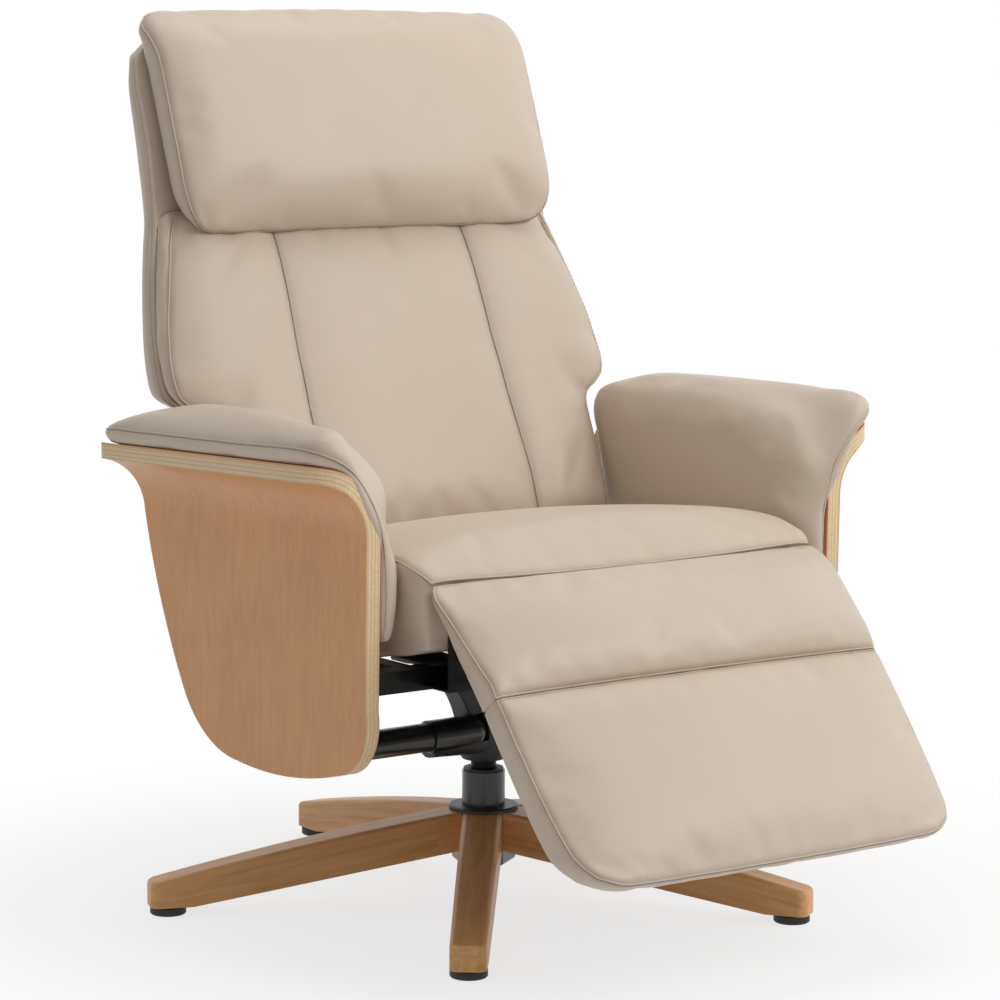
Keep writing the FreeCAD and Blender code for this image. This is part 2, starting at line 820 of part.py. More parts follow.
def panel():
    """Bent-plywood side: the sheet's section run along the chair, cut to its two outlines."""
    outer, inner = panel_curve(0), panel_curve(panel_thickness)
    rear = panel_rear + overrun

    def at(p):
        return (p[0], rear, p[1])

    low = panel_bottom - overrun
    wire = Part.Wire([
        edge((outer[0][0], rear, low), at(outer[1])),
        bow(at(outer[1]), at(outer[2]), at(outer[3])),
        edge(at(outer[3]), at(outer[4])),
        edge(at(outer[4]), at(inner[4])),
        edge(at(inner[4]), at(inner[3])),
        bow(at(inner[3]), at(inner[2]), at(inner[1])),
        edge(at(inner[1]), (inner[0][0], rear, low)),
        edge((inner[0][0], rear, low), (outer[0][0], rear, low)),
    ])
    travel = panel_rear - panel_front + overrun * 2
    sheet = Part.Face(wire).extrude(V(0, -travel, travel * panel_slope))
    sheet = sheet.common(panel_outline()).common(panel_plan())
    near, deep = panel_inner - overrun, panel_inner - plate + screw_length + run_gap
    for y, z in panel_screw_places():
        sheet = sheet.cut(rod((near, y, z), (deep, y, z), screw_radius + run_gap))
    return sheet


def panel_screw_places():
    """Every wood screw in a side panel, as (y, z)."""
    middle = tube_plate_height()
    return [(y, middle + dz) for y, dz in plate_screw_places()] + rail_screw_places()


def arm_section():
    """Pad outline behind the panel's rear edge: inner face, crest, outer band, sheet's curve."""
    sheet = panel_curve(panel_thickness + soft_gap)
    outer = arm_outer()
    seam_mid = (arm_seam_height + sheet[4][1]) / 2

    def at(x, z):
        return (x, panel_rear + overrun, z)

    inner_low, inner_top = at(arm_inner, arm_pad_bottom), at(arm_inner, arm_shoulder_height)
    crest, seam = at(arm_crest_x, arm_crest_height), at(outer, arm_seam_height)
    band = at(outer - arm_band_lean, sheet[4][1])
    inner_mid = at(arm_inner - arm_swell, (arm_pad_bottom + arm_shoulder_height) / 2)
    shoulder = at(arm_inner + (arm_crest_x - arm_inner) * 0.28,
                  arm_shoulder_height + (arm_crest_height - arm_shoulder_height) * 0.72)
    top = at((arm_crest_x + outer) / 2, arm_crest_height - arm_swell)
    return Part.Wire([
        edge(at(sheet[1][0], arm_pad_bottom), inner_low),
        bow(inner_low, inner_mid, inner_top),
        bow(inner_top, shoulder, crest),
        bow(crest, top, seam),
        bow(seam, at(outer - arm_band_lean / 2 + arm_swell, seam_mid), band),
        edge(band, at(*sheet[4])),
        edge(at(*sheet[4]), at(*sheet[3])),
        bow(at(*sheet[3]), at(*sheet[2]), at(*sheet[1])),
        edge(at(*sheet[1]), at(sheet[1][0], arm_pad_bottom)),
    ])


def arm_side_outline():
    """The pad seen from the side: rounded front corners and a top that falls to the rear."""
    front, rear, low = arm_pad_front, arm_pad_rear, arm_pad_bottom
    top = arm_crest_height + (panel_rear - front) * panel_slope
    fall = arm_crest_height + (panel_rear - arm_fall_start) * panel_slope
    half_fall = (0, arm_fall_start * 0.4 + rear * 0.6,
                 fall * 0.4 + arm_seam_height * 0.6 + arm_foot_round / 2)
    tail = (0, rear, arm_seam_height - arm_swell)
    r, q = arm_front_round, arm_foot_round
    c = 1 - math.sqrt(0.5)
    wire = Part.Wire([
        edge((0, front, low + q), (0, front, top - r)),
        bow((0, front, top - r), (0, front + r * c, top - r * c), (0, front + r, top)),
        edge((0, front + r, top), (0, arm_fall_start, fall)),
        bow((0, arm_fall_start, fall), half_fall, tail),
        edge(tail, (0, rear, low)),
        edge((0, rear, low), (0, front + q, low)),
        bow((0, front + q, low), (0, front + q * c, low + q * c), (0, front, low + q)),
    ])
    return Part.Face(wire).extrude(V(arm_outer() + overrun, 0, 0))


def arm_plan_outline():
    """The pad seen from above: round corners at the front and at the outer rear."""
    r, q, tail = panel_corner_round, arm_inner_round, panel_rear_round
    c = 1 - math.sqrt(0.5)
    front, rear = arm_pad_front, arm_pad_rear
    inner, outer = arm_inner - arm_swell * 2, arm_outer() + arm_swell
    wire = Part.Wire([
        edge((inner + q, front, 0), (outer - r, front, 0)),
        bow((outer - r, front, 0), (outer - r * c, front + r * c, 0), (outer, front + r, 0)),
        edge((outer, front + r, 0), (outer, rear - tail, 0)),
        bow((outer, rear - tail, 0), (outer - tail * c, rear - tail * c, 0), (outer - tail, rear, 0)),
        edge((outer - tail, rear, 0), (inner, rear, 0)),
        edge((inner, rear, 0), (inner, front + q, 0)),
        bow((inner, front + q, 0), (inner + q * c, front + q * c, 0), (inner + q, front, 0)),
    ])
    return Part.Face(wire).extrude(V(0, 0, arm_crest_height + overrun * 2))


def arm_pad():
    """Pad over the flared edge: full height in front, only over the flare behind."""
    travel = panel_rear - arm_pad_front + overrun * 2
    body = Part.Face(arm_section()).extrude(V(0, -travel, travel * panel_slope))
    body = body.common(arm_side_outline()).common(arm_plan_outline())
    lean = math.tan(math.radians(arm_inner_rear_lean))
    low, high = arm_pad_bottom - overrun, arm_crest_height + overrun
    middle = (panel_bend_height + low) / 2
    far = panel_rear + overrun
    behind = [(0, arm_inner_rear + (low - middle) * lean, low),
              (0, arm_inner_rear + (high - middle) * lean, high), (0, far, high), (0, far, low)]
    return body.cut(prism(behind, (arm_tail_inner, 0, 0)))


def sides():
    for side, one in zip(("right", "left"), both_sides(panel())):
        save("side_panel_" + side, one)
    for side, one in zip(("right", "left"), both_sides(arm_pad())):
        save("arm_pad_" + side, one)


# Seat cushion

def seat_section(y, half, seam, crown):
    """Crowned top, boxed sides that swell a little, flat bottom."""
    side = half + seat_side_bulge
    middle = (seat_bottom + seam) / 2
    edge_half = half - seat_side_bulge
    return Part.Wire([
        edge((-edge_half, y, seat_bottom), (edge_half, y, seat_bottom)),
        bow((edge_half, y, seat_bottom), (side, y, middle), (half, y, seam)),
        bow((half, y, seam), (0, y, seam + crown), (-half, y, seam)),
        bow((-half, y, seam), (-side, y, middle), (-edge_half, y, seat_bottom)),
    ])


def seat_cushion():
    length = seat_rear - seat_front
    seam, drop, rear_drop = seat_seam_height, seat_front_drop, seat_rear_drop
    wide = seat_half_width - seat_side_bulge
    narrow = wide - seat_side_bulge
    stations = [
        (seat_front, narrow, seam - drop * 1.4, seat_crown * 0.4),
        (seat_front + length * 0.05, wide, seam - drop * 0.5, seat_crown * 0.62),
        (seat_front + length * 0.25, wide, seam, seat_crown * 0.9),
        (seat_front + length * 0.55, wide, seam, seat_crown),
        (seat_rear - length * 0.06, narrow, seam - rear_drop, seat_crown * 0.9),
        (seat_rear, narrow - seat_side_bulge * 2, seam - rear_drop * 2.5, seat_crown * 0.6),
    ]
    return loft([seat_section(*s) for s in stations])


# Legrest. Both halves are drawn level, back face down, running along -Y from the hinge at the
# seat, and are then turned down about their hinge lines.

def upper_posed(shape):
    return tilted(shape, legrest_pivot_y, legrest_pivot_z, -upper_angle)


def lower_posed(shape):
    turn = upper_angle - lower_angle
    return upper_posed(tilted(shape, legrest_pivot_y - upper_length, legrest_pivot_z - fold_behind, turn))


def level_block(half, start, end, low, high):
    """Block across the legrest, given along and in front of its back face."""
    y, z = legrest_pivot_y, legrest_pivot_z
    return block(-half, half, y - end, y - start, z + low, z + high)


def pad_section(distance, half, seam, crown, lean):
    """Section across a pad: flat back, swelling sides, crowned face."""
    side = half + pad_side_bulge

    def p(x, height):
        return (x, legrest_pivot_y - distance - height * lean, legrest_pivot_z + height)

    return Part.Wire([
        edge(p(-half, 0), p(half, 0)),
        bow(p(half, 0), p(side, seam / 2), p(half, seam)),
        bow(p(half, seam), p(0, seam + crown), p(-half, seam)),
        bow(p(-half, seam), p(-side, seam / 2), p(-half, 0)),
    ])


def upper_pad():
    half = legrest_half_width - pad_side_bulge
    length = upper_length - seam_gap / 2 - upper_start
    wires = [pad_section(upper_start + length * along, half, pad_edge * seam, pad_crown * crown, 0)
             for along, seam, crown in upper_pad_shares]
    return loft(wires)


def lower_curl():
    """The space behind the lower pad's end, where its back face curls forward."""
    half = legrest_half_width + overrun
    start = legrest_pivot_y - upper_length - lower_length * lower_curl_share

    def p(angle):
        turn = math.radians(angle)
        return (-half, start - lower_curl_radius * math.sin(turn),
                legrest_pivot_z + lower_curl_radius * (1 - math.cos(turn)))

    end = p(lower_curl_angle)
    low, far = legrest_pivot_z - overrun, end[1] - overrun
    wire = Part.Wire([
        bow(p(0), p(lower_curl_angle / 2), end),
        edge(end, (-half, far, end[2])),
        edge((-half, far, end[2]), (-half, far, low)),
        edge((-half, far, low), (-half, start, low)),
        edge((-half, start, low), p(0)),
    ])
    return Part.Face(wire).extrude(V(half * 2, 0, 0))


def lower_pad():
    half = legrest_half_width - pad_side_bulge
    start = upper_length + seam_gap / 2
    wires = [pad_section(start + lower_length * along, half - pad_end_round * corner, pad_edge * seam,
                         pad_crown * crown, lean) for along, corner, seam, crown, lean in lower_pad_shares]
    return loft(wires).cut(lower_curl())


def upper_board(grow):
    half = legrest_half_width - board_inset + grow
    end = upper_length - fold_radius * 2 + grow
    return level_block(half, board_inset - grow, end, 0, board_thickness + grow)


def lower_board(grow):
    half = legrest_half_width - board_inset * 2 + grow
    start = upper_length + fold_radius * 2 - grow
    end = upper_length + lower_length * lower_board_share + grow
    return level_block(half, start, end, 0, board_thickness + grow)


def knuckle_spans(letter):
    """The (x0, x1) of each knuckle with this letter."""
    pitch = 2 * hinge_half / len(hinge_knuckles)
    return [(-hinge_half + pitch * k + run_gap * 2, -hinge_half + pitch * (k + 1) - run_gap * 2)
            for k, one in enumerate(hinge_knuckles) if one == letter]


def hinge_side(letter, line_y, line_z, radius, pin_radius, leaf, tab):
    """Leaf of a hinge with its knuckles. The tab gives (y0, y1, z0, z1) of each knuckle's root."""
    body = leaf
    for x0, x1 in knuckle_spans(letter):
        body = body.fuse(block(x0, x1, *tab)).fuse(rod((x0, line_y, line_z), (x1, line_y, line_z), radius))
    return body.cut(hinge_pin(line_y, line_z, pin_radius + run_gap))


def hinge_pin(line_y, line_z, radius):
    return rod((-hinge_half, line_y, line_z), (hinge_half, line_y, line_z), radius)


def apron():
    """Bent sheet in front of the seat cushion: hinge knuckles above, a flange to the rail below."""
    y, z = legrest_pivot_y, legrest_pivot_z
    front = y + hinge_radius + soft_gap
    back = front + hinge_leaf
    half, foot_top = hinge_half, apron_bottom + hinge_leaf
    web = block(-half, half, front, back, apron_bottom, z - hinge_radius - soft_gap)
    web = web.fuse(block(-half, half, front, front_rail_front, apron_bottom, foot_top))
    for x0, x1 in knuckle_spans("f"):
        web = web.fuse(block(x0, x1, front, back, z - hinge_radius * 2, z + hinge_leaf / 2))
    tab = (y, back, z - hinge_leaf / 2, z + hinge_leaf / 2)
    return hinge_side("f", y, z, hinge_radius, hinge_pin_radius, web, tab)


def seat_hinge_leaf():
    """Moving leaf of the hinge at the seat, on the back of the upper half."""
    y, z = legrest_pivot_y, legrest_pivot_z
    near = hinge_radius + soft_gap
    leaf = level_block(hinge_half, near, hinge_leaf_length, -hinge_leaf, 0)
    return hinge_side("m", y, z, hinge_radius, hinge_pin_radius, leaf, (y - near, y, z - hinge_leaf, z))


def fold_leaf(letter, side):
    """One leaf of the fold hinge on the back face; the side is -1 for the upper half."""
    near, far = fold_radius + soft_gap, hinge_leaf_length
    start, end = sorted((upper_length + side * near, upper_length + side * far))
    leaf = level_block(hinge_half, start, end, -hinge_leaf, 0)
    y, z = legrest_pivot_y - upper_length, legrest_pivot_z
    y0, y1 = sorted((y, y - side * near))
    tab = (y0, y1, z - hinge_leaf, z)
    return hinge_side(letter, y, z - fold_behind, fold_radius, fold_pin_radius, leaf, tab)


def legrest():
    y, z = legrest_pivot_y, legrest_pivot_z
    save("front_apron", apron())
    save("legrest_hinge_pin", hinge_pin(y, z, hinge_pin_radius))
    save("legrest_hinge_leaf", upper_posed(seat_hinge_leaf()))
    save("legrest_upper_board", upper_posed(upper_board(0)))
    save("legrest_upper_pad", upper_posed(upper_pad().cut(upper_board(run_gap))))
    save("fold_hinge_upper_leaf", upper_posed(fold_leaf("f", -1)))
    save("fold_hinge_pin", upper_posed(hinge_pin(y - upper_length, z - fold_behind, fold_pin_radius)))
    save("fold_hinge_lower_leaf", lower_posed(fold_leaf("m", 1)))
    save("legrest_lower_board", lower_posed(lower_board(0)))
    save("legrest_lower_pad", lower_posed(lower_pad().cut(lower_board(run_gap))))


# Backrest

def back_level(shares):
    """One height of the back: z, half width, front edge and rear face of the shell."""
    height, half, front, rear = shares
    return (back_bottom + height * back_height, half * back_half_width, back_foot_y + front * back_run,
            back_foot_y + rear * back_run)


def shell_section(z, half, front, rear, inset):
    """Level section of the shell: straight front, round rear corners, slightly bowed rear."""
    half = half - inset
    rear = rear - inset
    corner = (rear - front) * shell_corner_share
    reach = half - corner
    c = 1 - math.sqrt(0.5)
    crown = (rear - front) * shell_crown_share

    def p(x, y):
        return (x, y, z)

    start, middle, end = rear - crown - corner, rear - crown - corner * c, rear - crown
    return Part.Wire([
        edge(p(-half, front), p(half, front)),
        edge(p(half, front), p(half, start)),
        bow(p(half, start), p(half - corner * c, middle), p(reach, end)),
        bow(p(reach, end), p(0, rear), p(-reach, end)),
        bow(p(-reach, end), p(-half + corner * c, middle), p(-half, start)),
        edge(p(-half, start), p(-half, front)),
    ])


def back_shell():
    """Moulded shell: a tray behind the cushion, closed and solid behind the headrest."""
    levels = [back_level(s) for s in shell_shares]
    outer = loft([shell_section(*level, 0) for level in levels], True)
    inner_levels = levels[:len(cushion_shares)]
    cavity = []
    for index, (z, half, front, rear) in enumerate(inner_levels):
        if index == 0:
            z = z - overrun
        if index == len(inner_levels) - 1:
            z = z - shell_wall
        cavity.append(shell_section(z, half, front - overrun, rear, shell_wall))
    return outer.cut(loft(cavity, True))


def cushion_section(level, shares):
    """Level section of the back cushion: three swelling fields between two sewn channels."""
    z, _, shell_front, _ = level
    half = shares[0] * back_half_width - cushion_side_bulge
    back = shell_front - soft_gap
    seam = back - cushion_band * shares[1]
    middle = seam - cushion_crown * shares[2]
    channel = middle + groove_depth * (0.3 + 0.7 * shares[1])
    field_x = (half + groove_x) / 2
    field_y = (seam + channel) / 2 - cushion_panel_bulge * shares[1]
    side = half + cushion_side_bulge

    def p(x, y):
        return (x, y, z)

    return Part.Wire([
        edge(p(-half, back), p(half, back)),
        bow(p(half, back), p(side, (back + seam) / 2), p(half, seam)),
        bow(p(half, seam), p(field_x, field_y), p(groove_x, channel)),
        bow(p(groove_x, channel), p(0, middle), p(-groove_x, channel)),
        bow(p(-groove_x, channel), p(-field_x, field_y), p(-half, seam)),
        bow(p(-half, seam), p(-side, (back + seam) / 2), p(-half, back)),
    ])


def back_cushion():
    levels = [back_level(s) for s in shell_shares]
    return loft([cushion_section(level, shares) for level, shares in zip(levels, cushion_shares)], True)


def upright_path():
    """Centre line of one upright: up from the pivot tube, round the knee, on to the top."""
    low, knee = (back_pivot_y, back_pivot_z), (upright_knee_y, upright_knee_z)
    top = (upright_top_y, upright_top_z)
    a = math.atan2(knee[0] - low[0], knee[1] - low[1])
    b = math.atan2(top[0] - knee[0], top[1] - knee[1])
    reach = upright_bend * math.tan((a - b) / 2)
    first = (knee[0] - reach * math.sin(a), knee[1] - reach * math.cos(a))
    last = (knee[0] + reach * math.sin(b), knee[1] + reach * math.cos(b))
    sag = upright_bend / math.cos((a - b) / 2) - upright_bend
    half_way = (a + b) / 2
    middle = (knee[0] - sag * math.cos(half_way), knee[1] + sag * math.sin(half_way))
    return low, first, middle, last, top, a, b


def upright():
    low, first, middle, last, top, a, _ = upright_path()

    def p(point):
        return (upright_x, point[0], point[1])

    solids = []
    for radius in (upright_radius, upright_radius - upright_wall):
        path = Part.Wire([edge(p(low), p(first)), bow(p(first), p(middle), p(last)), edge(p(last), p(top))])
        circle = Part.Wire(Part.makeCircle(radius, V(*p(low)), V(0, math.sin(a), math.cos(a))))
        solids.append(path.makePipeShell([circle], True, False))
    body = solids[0].cut(solids[1])
    return body.cut(rod((0, back_pivot_y, back_pivot_z), (back_half_width, back_pivot_y, back_pivot_z),
                        back_tube_radius))


def back_straps():
    """Elastic straps across the uprights, in front of them."""
    path = upright_path()
    low, (a, b) = path[0], path[-2:]
    reach = upright_x + upright_radius
    straps = []
    for k in range(strap_count):
        share = (k + 0.5) / strap_count
        z = back_pivot_z + share * (upright_top_z - back_pivot_z)
        lean = a if z < upright_knee_z else b
        base = low if z < upright_knee_z else (upright_knee_y, upright_knee_z)
        y = base[0] + (z - base[1]) * math.tan(lean)
        front = y - upright_radius - soft_gap
        strap = block(-reach, reach, front - strap_thickness, front,
                      z - strap_height / 2, z + strap_height / 2)
        straps.append(tilted(strap, y, z, math.degrees(lean)))
    return straps


def lever_plates():
    """Two plates welded under the pivot tube; the gas spring's eye lies between them."""
    y, z = back_pivot_y, back_pivot_z
    tip = (y + lever_back, z - lever_drop)
    r = lever_width / 2
    length = math.hypot(lever_back, lever_drop)
    x0 = lever_space / 2
    plate_shape = block(x0, x0 + lever_thickness, y - r, y + r, z - length, z)
    end = rod((x0, y, z - length), (x0 + lever_thickness, y, z - length), r)
    plate_shape = plate_shape.fuse(end).removeSplitter()
    plate_shape = tilted(plate_shape, y, z, -math.degrees(math.atan2(lever_back, lever_drop)))
    plate_shape = plate_shape.cut(rod((0, y, z), (back_half_width, y, z), back_tube_radius))
    pin_hole = rod((0, tip[0], tip[1]), (back_half_width, tip[0], tip[1]), bolt_radius + run_gap)
    return both_sides(plate_shape.cut(pin_hole))


def lever_pin():
    y, z = back_pivot_y + lever_back, back_pivot_z - lever_drop
    reach = lever_space / 2 + lever_thickness
    head = rod((reach, y, z), (reach + lever_thickness / 2, y, z), bolt_radius * 1.5)
    return rod((-reach, y, z), (reach, y, z), bolt_radius).fuse(head).fuse(mirrored(head))


def back_pivot():
    """Tube between two brackets, turning on a shoulder bolt at each end."""
    y, z = back_pivot_y, back_pivot_z
    bore = back_tube_radius - back_tube_wall
    tube = ring((-back_tube_half, y, z), (back_tube_half, y, z), back_tube_radius, bore)
    plug_start = back_tube_half - back_plug_length
    plug = ring((plug_start, y, z), (back_tube_half, y, z), bore, bolt_radius + run_gap)
    outer = side_rail_outer + back_bracket_thickness
    bolt = rod((plug_start + run_gap, y, z), (outer, y, z), bolt_radius)
    bolt = bolt.fuse(rod((outer, y, z), (outer + bolt_radius, y, z), back_bolt_head))
    r = back_bracket_thickness * 3
    x0, rail_top = side_rail_outer, rail_bottom + rail_height
    bracket = block(x0, outer, back_bracket_front, back_bracket_rear, rail_bottom, rail_top)
    web = prism([(x0, back_bracket_front, rail_top), (x0, y - r, z), (x0, y + r, z),
                 (x0, back_bracket_rear, rail_top)], (back_bracket_thickness, 0, 0))
    boss = rod((back_tube_half + back_spacer_gap, y, z), (x0, y, z), back_tube_radius)
    bracket = bracket.fuse(web).fuse(rod((x0, y, z), (outer, y, z), r)).fuse(boss).removeSplitter()
    bracket = bracket.cut(rod((plug_start, y, z), (outer, y, z), bolt_radius + run_gap))
    save("back_pivot_tube", tube)
    save("back_pivot_plugs", *both_sides(plug))
    save("back_pivot_bolts", *both_sides(bolt))
    save("back_pivot_brackets", *both_sides(bracket))


def backrest():
    back_pivot()
    y, z = upright_top_y, upright_top_z - upright_radius
    inner = upright_x - upright_radius - soft_gap
    bar = ring((-inner, y, z), (inner, y, z), upright_radius, upright_radius - upright_wall)
    save("back_frame", *both_sides(upright()), bar)
    save("back_straps", *back_straps())
    save("lever_plates", *lever_plates())
    save("lever_pin", lever_pin())
    save("back_shell", back_shell())
    save("back_cushion", back_cushion())


# Headrest, drawn upright with its back face in the plane y = 0, then leaned back

def pillow_posed(shape):
    copy = shape.copy()
    copy.rotate(V(0, 0, 0), V(1, 0, 0), -pillow_lean)
    copy.translate(V(0, pillow_foot_y, pillow_foot_z))
    return copy


def pillow_section(shares):
    share, corner, band, crown = shares
    z = share * pillow_length
    half = pillow_half_width - pillow_side_bulge - pillow_corner * corner
    back = -(1 - band) * pillow_band * 0.35
    seam = back - pillow_band * band
    side = half + pillow_side_bulge

    def p(x, y):
        return (x, y, z)

    return Part.Wire([
        edge(p(-half, back), p(half, back)),
        bow(p(half, back), p(side, (back + seam) / 2), p(half, seam)),
        bow(p(half, seam), p(0, seam - pillow_crown * crown), p(-half, seam)),
        bow(p(-half, seam), p(-side, (back + seam) / 2), p(-half, back)),
    ])


def pillow_board_block(grow):
    half = pillow_half_width - pillow_board_inset + grow
    return block(-half, half, -pillow_board - grow, 0, pillow_board_inset - grow,
                 pillow_length - pillow_board_inset + grow)


def headrest_local_pivot():
    """The hinge line in the pillow's own upright frame, as (y, z)."""
    a = math.radians(pillow_lean)
    dy, dz = headrest_pivot_y - pillow_foot_y, headrest_pivot_z - pillow_foot_z
    return (dy * math.cos(a) - dz * math.sin(a), dy * math.sin(a) + dz * math.cos(a))


def headrest_eye():
    """Plate on the pillow's board with an eye rolled behind it."""
    y, z = headrest_local_pivot()
    x0, x1 = headrest_eye_x - headrest_eye_width / 2, headrest_eye_x + headrest_eye_width / 2
    low = max(pillow_board_inset, z - headrest_eye_radius)
    body = block(x0, x1, 0, headrest_plate_thickness, low, low + headrest_plate_length)
    body = body.fuse(rod((x0, y, z), (x1, y, z), headrest_eye_radius))
    web = block(x0, x1, 0, y, z, z + headrest_eye_radius * 2)
    web = web.cut(block(x0, x1, y / 2, y + overrun, z + headrest_eye_radius, z + overrun * 2))
    body = body.fuse(web)
    return body.cut(rod((x0 - overrun, y, z), (x1 + overrun, y, z), headrest_pin_radius + run_gap))


def shell_front_at(z):
    """Front edge of the shell at a height, and its lean there in degrees."""
    levels = [back_level(s) for s in shell_shares]
    for (z0, _, y0, _), (z1, _, y1, _) in zip(levels, levels[1:]):
        if z0 <= z <= z1:
            return y0 + (y1 - y0) * (z - z0) / (z1 - z0), math.degrees(math.atan2(y1 - y0, z1 - z0))


def headrest_ears():
    """Four ears standing on the shell's front face, two beside each eye."""
    y, z = headrest_pivot_y, headrest_pivot_z
    face, lean = shell_front_at(z)
    r = headrest_eye_radius
    ears = []
    for side in (-1, 1):
        near = headrest_eye_x + side * (headrest_eye_width / 2 + run_gap * 4)
        x0, x1 = sorted((near, near + side * headrest_ear_thickness))
        ear = block(x0, x1, y, face + overrun, z - r, z + r).fuse(rod((x0, y, z), (x1, y, z), r))
        wall = block(x0 - overrun, x1 + overrun, face - soft_gap, face + overrun * 3,
                     z - overrun * 3, z + overrun * 3)
        ear = ear.removeSplitter().cut(tilted(wall, face, z, lean))
        ears.append(ear.cut(rod((x0, y, z), (x1, y, z), headrest_pin_radius + run_gap)))
    return ears + [mirrored(one) for one in ears]


def headrest_pins():
    y, z = headrest_pivot_y, headrest_pivot_z
    reach = headrest_eye_width / 2 + headrest_ear_thickness + run_gap * 4
    near, far = headrest_eye_x - reach, headrest_eye_x + reach
    return both_sides(rod((near, y, z), (far, y, z), headrest_pin_radius))


def headrest():
    half = pillow_half_width + overrun
    pillow = loft([pillow_section(shares) for shares in pillow_shares])
    pillow = pillow.cut(block(-half, half, -run_gap, overrun, -overrun, pillow_length + overrun))
    save("headrest_pillow", pillow_posed(pillow.cut(pillow_board_block(run_gap))))
    save("headrest_board", pillow_posed(pillow_board_block(0)))
    save("headrest_eyes", *[pillow_posed(one) for one in both_sides(headrest_eye())])
    save("headrest_ears", *headrest_ears())
    save("headrest_pins", *headrest_pins())


# Gas spring, drawn along +Y from its front eye, then turned up to the lever's pin

def spring_reach():
    """Length between the eyes, and the rise in degrees."""
    dy = back_pivot_y + lever_back - spring_front_y
    dz = back_pivot_z - lever_drop - spring_front_z
    return math.hypot(dy, dz), math.degrees(math.atan2(dz, dy))


def spring_posed(shape):
    return tilted(shape, spring_front_y, spring_front_z, -spring_reach()[1])


def spring_cylinder():
    y, z = spring_front_y, spring_front_z
    half = spring_eye_width / 2
    end = y + cylinder_length
    eye = rod((-half, y, z), (half, y, z), spring_eye_radius)
    neck = rod((0, y, z), (0, y + spring_eye_radius * 1.5, z), half)
    barrel = rod((0, y + spring_eye_radius * 1.2, z), (0, end, z), cylinder_radius)
    bore = rod((0, y + spring_eye_radius * 1.2 + cylinder_cap, z), (0, end - cylinder_cap, z),
               cylinder_radius - cylinder_wall)
    guide = rod((0, y + cylinder_cap * 2, z), (0, end + overrun, z), rod_radius + run_gap)
    body = eye.fuse(neck).fuse(barrel).cut(bore).cut(guide)
    return body.cut(rod((-overrun, y, z), (overrun, y, z), bolt_radius + run_gap))


def spring_rod():
    """Rod with its piston inside, and a slotted eye that lets the lever's pin rise and fall."""
    z = spring_front_z
    reach = spring_front_y + spring_reach()[0]
    start = spring_front_y + cylinder_length - rod_inside
    half, half_slot = spring_eye_width / 2, rod_slot / 2
    r = spring_eye_radius
    shaft = rod((0, start, z), (0, reach - bolt_radius * 2, z), rod_radius)
    piston = rod((0, start, z), (0, start + piston_height, z), cylinder_radius - cylinder_wall - run_gap)
    eye = block(-half, half, reach - r, reach + r, z - half_slot, z + half_slot)
    wide = bolt_radius + slot_gap
    slot = block(-overrun, overrun, reach - wide, reach + wide, z - half_slot, z + half_slot)
    for dz in (-half_slot, half_slot):
        eye = eye.fuse(rod((-half, reach, z + dz), (half, reach, z + dz), r))
        slot = slot.fuse(rod((-overrun, reach, z + dz), (overrun, reach, z + dz), wide))
    return shaft.fuse(piston).fuse(eye.removeSplitter()).cut(slot)


def spring_lugs():
    y, z = spring_front_y, spring_front_z
    x0 = lever_space / 2
    r = spring_eye_radius
    rail_rear = front_rail_front + rail_depth
    lug = block(x0, x0 + lever_thickness, rail_rear, y, z - r, rail_bottom + r)
    lug = lug.fuse(rod((x0, y, z), (x0 + lever_thickness, y, z), r)).removeSplitter()
    return both_sides(lug.cut(rod((0, y, z), (overrun, y, z), bolt_radius + run_gap)))


def spring_pin():
    y, z = spring_front_y, spring_front_z
    reach = lever_space / 2 + lever_thickness
    head = rod((reach, y, z), (reach + lever_thickness / 2, y, z), bolt_radius * 1.5)
    return rod((-reach, y, z), (reach, y, z), bolt_radius).fuse(head).fuse(mirrored(head))


def gas_spring():
    save("spring_cylinder", spring_posed(spring_cylinder()))
    save("spring_rod", spring_posed(spring_rod()))
    save("spring_lugs", *spring_lugs())
    save("spring_pin", spring_pin())


def main():
    os.makedirs("parts", exist_ok=True)
    base()
    column_top()
    seat_frame()
    sides()
    save("seat_cushion", seat_cushion())
    legrest()
    backrest()
    headrest()
    gas_spring()


main()
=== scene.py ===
import json
import math

import bpy
import numpy as np
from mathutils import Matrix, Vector
from mathutils.bvhtree import BVHTree
from mathutils.kdtree import KDTree


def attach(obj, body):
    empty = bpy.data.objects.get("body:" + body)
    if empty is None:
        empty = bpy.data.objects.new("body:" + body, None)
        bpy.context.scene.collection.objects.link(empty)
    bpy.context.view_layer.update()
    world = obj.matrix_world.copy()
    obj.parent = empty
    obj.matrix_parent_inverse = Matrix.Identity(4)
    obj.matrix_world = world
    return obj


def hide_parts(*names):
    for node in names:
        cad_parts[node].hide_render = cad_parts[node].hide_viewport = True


# Upholstered swivel recliner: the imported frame, dressed with its cushions, seams and finishes.
# Shapes are given in millimetres round the swivel axis and put into the row frame by placed().

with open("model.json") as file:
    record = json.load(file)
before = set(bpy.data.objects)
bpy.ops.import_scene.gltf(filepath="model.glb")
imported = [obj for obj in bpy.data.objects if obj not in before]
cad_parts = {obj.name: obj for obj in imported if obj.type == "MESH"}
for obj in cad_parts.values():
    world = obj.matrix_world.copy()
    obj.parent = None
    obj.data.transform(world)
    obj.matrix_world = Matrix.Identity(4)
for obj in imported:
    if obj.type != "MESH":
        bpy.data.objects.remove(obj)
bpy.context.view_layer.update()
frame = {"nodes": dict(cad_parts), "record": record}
scene = bpy.context.scene

